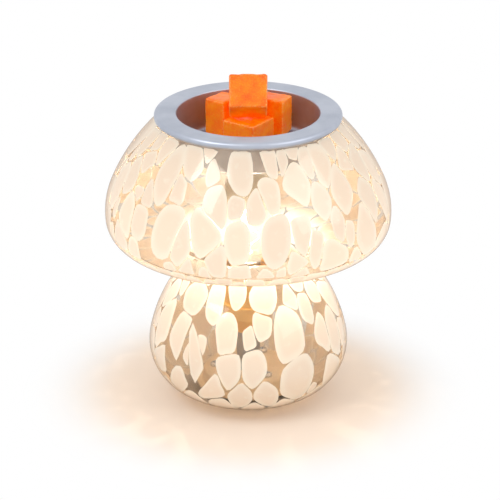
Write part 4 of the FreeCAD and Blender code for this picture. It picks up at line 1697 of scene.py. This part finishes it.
@dataclass
class Studio:
    """Pale floor with a painted warm glow near the object, white surroundings, two soft lamps and
    the warm light of the bulb.
    """

    painted_floor_glow: str = "#FBEEE1"
    floor_far: str = "#FFFFFF"
    # From near to far the painted glow fades, and the camera comes to see plain white.
    near: float = 68.0
    far: float = 125.0
    floor_half: float = 3000.0
    floor_height: float = -0.05
    first_ring: float = 4.0
    rings: int = 60
    turns: int = 96
    grain_mm: float = 0.4
    grain_depth: float = 0.05
    grain_bump: float = 0.1
    world_level: float = 0.7
    bulb_colour: tuple[float, float, float] = (1.0, 0.95, 0.89)
    bulb_power: float = 0.16
    bulb_height: float = 93.0
    bulb_size: float = 4.0
    lamps: tuple[SoftLamp, ...] = (SoftLamp("key_panel", (-0.9, -0.8, 1.3), 0.8, 7.0),
                                   SoftLamp("fill_panel", (1.1, -0.6, 0.9), 1.0, 4.0))

    def card(self) -> Material:
        """Make the floor's finish: matt white card, with a painted peach glow of the bulb's light
        near the object.

        Far from the object the camera sees plain white, and near it the card's own shade.

        Returns:
            The finished material.
        """
        material, tree = new_material("matt_white_card")
        place = add_node(tree, "TexCoord").outputs["Object"]
        away = add_node(tree, "VectorMath", {"operation": "LENGTH"}, {0: place}).outputs["Value"]
        share = add_node(tree, "MapRange", {1: self.near * METRES, 2: self.far * METRES},
                         {0: away}).outputs[0]
        # Painted light: the peach tone near the object stands in for the bulb's warm light on the
        # floor.
        tones = stops((0.0, 1.0), linear(self.painted_floor_glow), linear(self.floor_far))
        tone = add_node(tree, "ValToRGB", {"stops": tones, "easing": "EASE"}, {0: share})
        grain = add_node(tree, "TexNoise", {"Scale": cells(self.grain_mm)}, {"Vector": place})
        bump = add_node(tree, "Bump",
                        {"Strength": self.grain_bump, "Distance": self.grain_depth * METRES},
                        {"Height": grain.outputs["Fac"]})
        card = add_node(tree, "BsdfDiffuse",
                        links={"Color": tone.outputs[0], "Normal": bump.outputs[0]})
        white = add_node(tree, "Emission", {"Color": grey(1.0), "Strength": 1.0})
        levels = stops((0.0, 1.0), grey(0.0), grey(1.0))
        open_part = add_node(tree, "ValToRGB", {"stops": levels, "easing": "EASE"}, {0: share})
        fac = add_node(tree, "Math", {"operation": "MULTIPLY"},
                       {0: open_part.outputs[0], 1: self.seen(tree)})
        shader = add_node(tree, "MixShader", links={0: fac.outputs[0], 1: card.outputs[0],
                                                    2: white.outputs[0]})
        add_node(tree, "OutputMaterial", links={"Surface": shader.outputs[0]})
        return material

    def floor(self) -> Piece:
        """Lay the floor: a fan and rings (r cos a, r sin a, floor height) about the object.

        Returns:
            The floor.
        """
        rings = np.geomspace(self.first_ring, self.floor_half, self.rings)
        radii = np.concatenate([[0.0], rings, [0.0]])
        section = np.stack([radii, np.full(len(radii), self.floor_height)], axis=-1)
        turned = revolved(section, self.turns, False)
        # The fan back to the axis is left out, and the faces are turned to face up.
        quads, fan = turned.quads[:, ::-1], turned.tris[:self.turns, ::-1]
        floor = put_piece("floor", Surface(turned.points[:-1], quads, fan))
        dress(floor, self.card())
        return floor

    @staticmethod
    def seen(tree: Tree) -> Socket:
        """Add the rays that see the background: camera, glossy and transmission rays.

        Args:
            tree: Node tree of the floor or the world.

        Returns:
            1 on such rays and 0 on the others.
        """
        path = add_node(tree, "LightPath").outputs
        two = add_node(tree, "Math", {"operation": "MAXIMUM"},
                       {0: path["Is Camera Ray"], 1: path["Is Glossy Ray"]})
        three = add_node(tree, "Math", {"operation": "MAXIMUM"},
                         {0: two.outputs[0], 1: path["Is Transmission Ray"]})
        return three.outputs[0]

    def world(self) -> bpy.types.World:
        """Make the white surroundings, full white where they are seen.

        Returns:
            The world.
        """
        world = bpy.data.worlds.new("white_studio")
        world.use_nodes = True
        tree = world.node_tree
        tree.nodes.clear()
        level = add_node(tree, "MapRange", {3: self.world_level, 4: 1.0}, {0: self.seen(tree)})
        sky = add_node(tree, "Background", {"Color": grey(1.0)}, {"Strength": level.outputs[0]})
        add_node(tree, "OutputWorld", links={"Surface": sky.outputs[0]})
        bpy.context.scene.world = world
        return world

    def bulb_light(self, body: Piece) -> Piece:
        """Light the bulb: a small round lamp at its filament.

        Args:
            body: The body of the bulb, which carries the lamp.

        Returns:
            The lamp's object.
        """
        data = bpy.data.lights.new("bulb_light", "POINT")
        data.color, data.energy = self.bulb_colour, self.bulb_power
        data.shadow_soft_size = self.bulb_size * METRES
        light = bpy.data.objects.new("bulb_light", data)
        light.location = (0.0, 0.0, self.bulb_height * METRES)
        bpy.context.scene.collection.objects.link(light)
        light.parent = body
        return light

    def build(self, bulb: Piece) -> None:
        """Set up the floor, the surroundings and the lamps, and report the lamps.

        Args:
            bulb: The body of the bulb.
        """
        self.floor()
        self.world()
        for lamp in [spec.hang() for spec in self.lamps] + [self.bulb_light(bulb)]:
            log.info("%s: %.2f W", lamp.name, lamp.data.energy)


# The tables give each place in the front view: pixels across and down, half width and half
# height in pixels, and lean in degrees, as the fields of Chip name them.
SPOTS_CAP: list[Row] = [
    (117.9, 185, 5, 30, 15), (130.9, 176.8, 5.5, 18.5, 15), (149.4, 160.2, 8, 12, 0),
    (166, 177.8, 10.5, 28, 22), (179, 189.8, 7.5, 13.5, 20), (195, 161, 10.5, 22, 15),
    (208, 150, 7, 10, 10), (212.8, 173.1, 6, 13, 15), (240, 173, 10.5, 31, -4),
    (138.3, 193.5, 4, 7, 0),
    (147.6, 196.3, 5.5, 13, 10), (124.9, 214.8, 8, 21, 8), (139.2, 220.3, 9, 22, -5),
    (119.8, 233.3, 6, 12, -30), (133.7, 249.9, 5, 11.5, -22), (167.9, 230.5, 17, 25, 12),
    (178.1, 247.1, 10, 18.5, 10), (215, 207.4, 14, 21, 10), (204.9, 231.4, 15, 25, 0),
    (236.4, 243.4, 10.5, 20, 0), (214.2, 265.6, 12, 14, 0), (234.5, 205.5, 9, 12, 0),
    (169.8, 269.3, 6, 6, -40), (187.3, 271.2, 10, 9, 0), (239, 275, 11, 7, 0),
    (205, 277, 9, 6, 0), (271, 162, 7.5, 17, -8), (283, 160, 6.5, 19, 0),
    (269.9, 195, 9.5, 20.5, -10), (256, 209.3, 9.5, 20, 0), (298.6, 181.6, 15.5, 25, -8),
    (306.2, 164.4, 9, 15, -18), (321.6, 167.2, 10, 22, -18), (321.6, 201.7, 10, 21, -14),
    (342.6, 191.1, 10.5, 25, -18), (338.3, 224.6, 9, 16, -8), (350.3, 231.3, 5, 10.5, 0),
    (367, 229.4, 11, 24, 0), (369.4, 197.8, 9, 20, -18), (380.9, 195, 5, 18, -14),
    (358.9, 162.4, 8, 17, -25), (371.5, 168, 4.5, 17, -28), (303.4, 235.2, 9, 19.5, 0),
    (316.8, 244.7, 7, 16, 0), (276.1, 240.9, 15.5, 25, 0), (298.6, 264.8, 11, 10, 25),
    (335.9, 255.3, 13, 18, 50), (265, 276, 10, 5, 0), (382.8, 236, 4, 15, 22),
    (300, 275, 12, 6, 10), (357.9, 258.1, 6, 7, 40), (293, 155, 8, 6, 0), (346, 163, 7, 14, -20),
]

BARE_CAP: list[Row] = [
    (146, 177, 6, 7, 20), (194, 196, 10, 9, 0), (199, 183, 5, 5, 0), (222, 163, 4, 15, 0),
    (259, 167, 4, 14, 0), (297, 208, 13, 7, 0), (317, 222, 5, 8, 0), (151, 216, 3.5, 10, 10),
    (142, 247, 4, 9, -30), (152, 263, 9, 3, 20), (352, 175, 4, 8, -20), (355, 210, 5, 7, 0),
    (381, 216, 3, 16, 0), (230, 193, 2.5, 5, 0), (195, 267, 4, 4, 0), (260, 266, 7, 3.5, 0),
    (122, 200, 2, 5, 20), (257, 240, 3, 16, 0), (330, 229, 4, 6, 30),
]

BARE_BASE: list[Row] = [
    (244, 317, 8, 11, 0), (239.5, 342, 3, 8, 0), (268, 346, 7, 6, 0), (274, 369, 5.5, 15, 0),
    (205, 376, 8, 6.5, -30), (320, 308, 7, 5, 0), (342, 314, 2, 6, 0), (280, 291, 2.5, 4, 0),
    (309, 337, 3.5, 14, 0), (321, 364, 5, 17, 10), (168, 356, 3.5, 10, 0), (227, 304, 2.5, 5, 0),
    (201, 317, 3, 6, 0), (176, 316, 2, 8, 30),
]

SPOTS_BASE: list[Row] = [
    (164, 318.3, 6, 28, 14), (180, 333.6, 10, 23, 22), (194, 299.1, 11, 19, 8),
    (213.8, 306.8, 8.5, 21, 6), (194.5, 352, 23, 34, 10), (226.5, 336.1, 12.5, 26, 0),
    (227.2, 369.3, 14.5, 20, 0), (237.4, 296.6, 7.5, 15, 0), (248.9, 338.7, 7, 11.5, 0),
    (254, 369.3, 12.8, 18.5, 0), (263.5, 297.9, 13, 18, 0), (262.2, 327.2, 9.5, 14.5, 0),
    (289.5, 337, 16, 33, 0), (289, 297.9, 6, 12, -20), (306.6, 308.1, 5.8, 17.5, -10),
    (313.3, 291.5, 5.5, 13, -18), (322.8, 332.3, 5.8, 17, -5), (334.3, 331, 6, 21, -6),
    (331.1, 297.9, 5.5, 17, -24), (299.2, 376.9, 16, 25, 22), (332.4, 371.8, 6, 15, 25),
    (211.2, 389.7, 16, 11, -20), (239.9, 397.3, 14, 9.5, 0), (266, 394.8, 16, 10, 20),
    (159.6, 356.5, 5, 11, -12), (179, 380, 11, 10, -30), (342, 330, 3, 18, 0),
    (170, 296, 5, 14, 28),
]

# Blown clear: the eye sees the lamp's inside through it, greyed a little, with brown edges.
CLEAR_GLASS = BlownGlass("blown_soda_lime_glass", "#F5F2EE", "#BFAA96", roughness=0.04)
# Drawn thin and lit: a painted warm halo of glow round the filament.
BULB_GLASS = BlownGlass("drawn_bulb_glass", "#FBF8F2", "#D9CDBD", roughness=0.03,
                        ripple_mm=14.0, painted_halo=0.7)
# Opal chips melted into the wall: cream and glossy, with a painted glow that is nearly white close
# to the lamp.
OPAL_FRIT = FusedFrit("fused_opal_frit", colour="#FBEDDE", rim="#FFF8EC", glow="#FFE6C4",
                      hot="#FFFAF4", painted_glow_level=0.56)
# Cast in a tray and snapped: mottled orange with pale rubbed edges and specks.
ORANGE_WAX = ScentedWax("cast_orange_wax", colour="#FF8C00", deep="#F05C00", bloom="#FFB478")
# Drawn tungsten at work: a bright thread with slightly duller marks.
TUNGSTEN = HotWire("glowing_tungsten", "#FFD9A0", dull="#FFB25A", strength=3.5)
# Spun, then rubbed satin on the lathe: blue-grey, its fine rings blur what it mirrors.
SATIN_ALUMINIUM = Metal("spun_satin_aluminium", "#BEC3CF", "#B0B6C3", Sheen.TURNED,
                        mark_mm=0.5, mark_depth=0.006, turned=True)
# Pressed from sheet and lacquered: pale amber, with the bulb's warm light painted into its colour.
BRASS = Metal("pressed_lampholder_brass", "#FFDFA0", "#F4CA84", Sheen.SATIN, mark_mm=0.6)
# Nickel over brass: a warm silver with a soft mirror.
PLATED_BRASS = Metal("nickel_plated_brass", "#D9CBA6", "#C4B58C", Sheen.PLATED)
# Zinc plated: a cool light grey with a faint cloud.
ZINC = Metal("zinc_plated_steel", "#B9BDC2", "#A2A6AB", Sheen.PLATED)
# Chromed: almost a clean mirror, with small bright glints on the screws.
CHROME = Metal("chromed_steel", "#DADDE2", "#C9CDD3", Sheen.POLISHED)
# Drawn and rolled: pale grey with marks that run across the thread.
CAP_ALUMINIUM = Metal("drawn_cap_aluminium", "#CFD1D4", "#B4B7BB", Sheen.SATIN, mark_mm=0.5)
# Poured solder: dull grey with an uneven skin.
SOLDER = Metal("dull_tin_solder", "#A9ABAE", "#8D9094", Sheen.SATIN, mark_mm=0.5,
               mark_depth=0.05)
# Drawn nickel wire: warm grey and a little shiny.
LEAD_WIRE = Metal("nickel_lead_wire", "#B8B2A8", "#9E978C", Sheen.PLATED)
# Sprayed and stoved on pressed steel: even beige with a fine orange peel.
PLATE_ENAMEL = Moulding("stoved_beige_enamel", "#EADBC2", "#E0CDB0", roughness=0.38,
                        grain_mm=0.7, grain_depth=0.02)
# Pressed and glazed: milk white and glassy.
PORCELAIN = Moulding("glazed_white_porcelain", "#F0ECE4", "#E3DED4", roughness=0.18,
                     grain_mm=1.2, grain_depth=0.02)
# Injection moulded: an even off-white with a fine spark-eroded grain.
WHITE_ABS = Moulding("moulded_white_abs", "#ECEAE6", "#DFDCD7", roughness=0.42,
                     grain_mm=0.5, grain_depth=0.02)
# Moulded rubber: milky, lets some light through, and has a dull skin.
SILICONE = Moulding("clear_silicone_rubber", "#E6E6E2", "#D8D8D3", roughness=0.5,
                    grain_mm=0.6, grain_depth=0.02, ior=1.41, see_through=0.4)
# Cast black glass: deep black with a clean gloss.
BLACK_GLASS = Moulding("black_insulating_glass", "#1B1714", "#120F0D", roughness=0.12,
                       grain_mm=1.0, grain_depth=0.01)

NODE_FINISHES: list[tuple[Metal | Moulding | BlownGlass, list[str]]] = [
    (SILICONE, ["cord_grommet", "foot_ring", "lower_gasket", "upper_gasket"]),
    (WHITE_ABS, ["bottom_cover"]),
    (PLATE_ENAMEL, ["inner_plate"]),
    (CHROME, ["plate_screws"]),
    (ZINC, ["threaded_tube", "lower_nut", "upper_nut", "nut_washer", "holder_spacer"]),
    (BRASS, ["holder_cap", "holder_skirt"]),
    (PORCELAIN, ["holder_core"]),
    (PLATED_BRASS, ["contact_tongue", "terminal_screws"]),
    (BULB_GLASS, ["bulb_glass", "bulb_stem"]),
    (BLACK_GLASS, ["bulb_insulator"]),
    (SOLDER, ["bulb_contact"]),
    (LEAD_WIRE, ["bulb_leads"]),
]


def main() -> None:
    """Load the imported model, dress it, set it in the studio and report each piece."""
    logging.basicConfig(level=logging.INFO, format="%(message)s")
    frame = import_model()
    View.build()
    bpy.context.scene.view_settings.view_transform = "Standard"

    made: dict[str, Material] = {}
    for finish, nodes in NODE_FINISHES:
        made[finish.name] = finish.build()
        for node in nodes:
            dress(frame["nodes"][node], made[finish.name])
            log.info("%s: %s", node, finish.name)

    glass = GlassBody()
    frit = OPAL_FRIT.build()
    # The zones of spots, as runs along the glass: foot to neck, and neck to just under the rim.
    base_zone, cap_zone = (8.0, 148.0), (149.0, float(glass.runs()[-1]) - 0.6)
    pieces = [glass.build(CLEAR_GLASS.build()),
              FusedSpots(glass, "cap", *cap_zone, SPOTS_CAP, BARE_CAP, seed=11).build(frit),
              FusedSpots(glass, "base", *base_zone, SPOTS_BASE, BARE_BASE, seed=23).build(frit),
              MeltingDish().build(SATIN_ALUMINIUM.build())]
    pieces += WaxHeap().build(ORANGE_WAX.build())
    pieces += Bulb().build(CAP_ALUMINIUM.build(), made[PLATED_BRASS.name], TUNGSTEN.build())
    for piece in pieces:
        log.info("%s: %d faces in %s", piece.name, len(piece.data.polygons),
                 piece.data.materials[0].name)
    Studio().build(frame["bodies"]["bulb"])


if __name__ == "__main__":
    main()
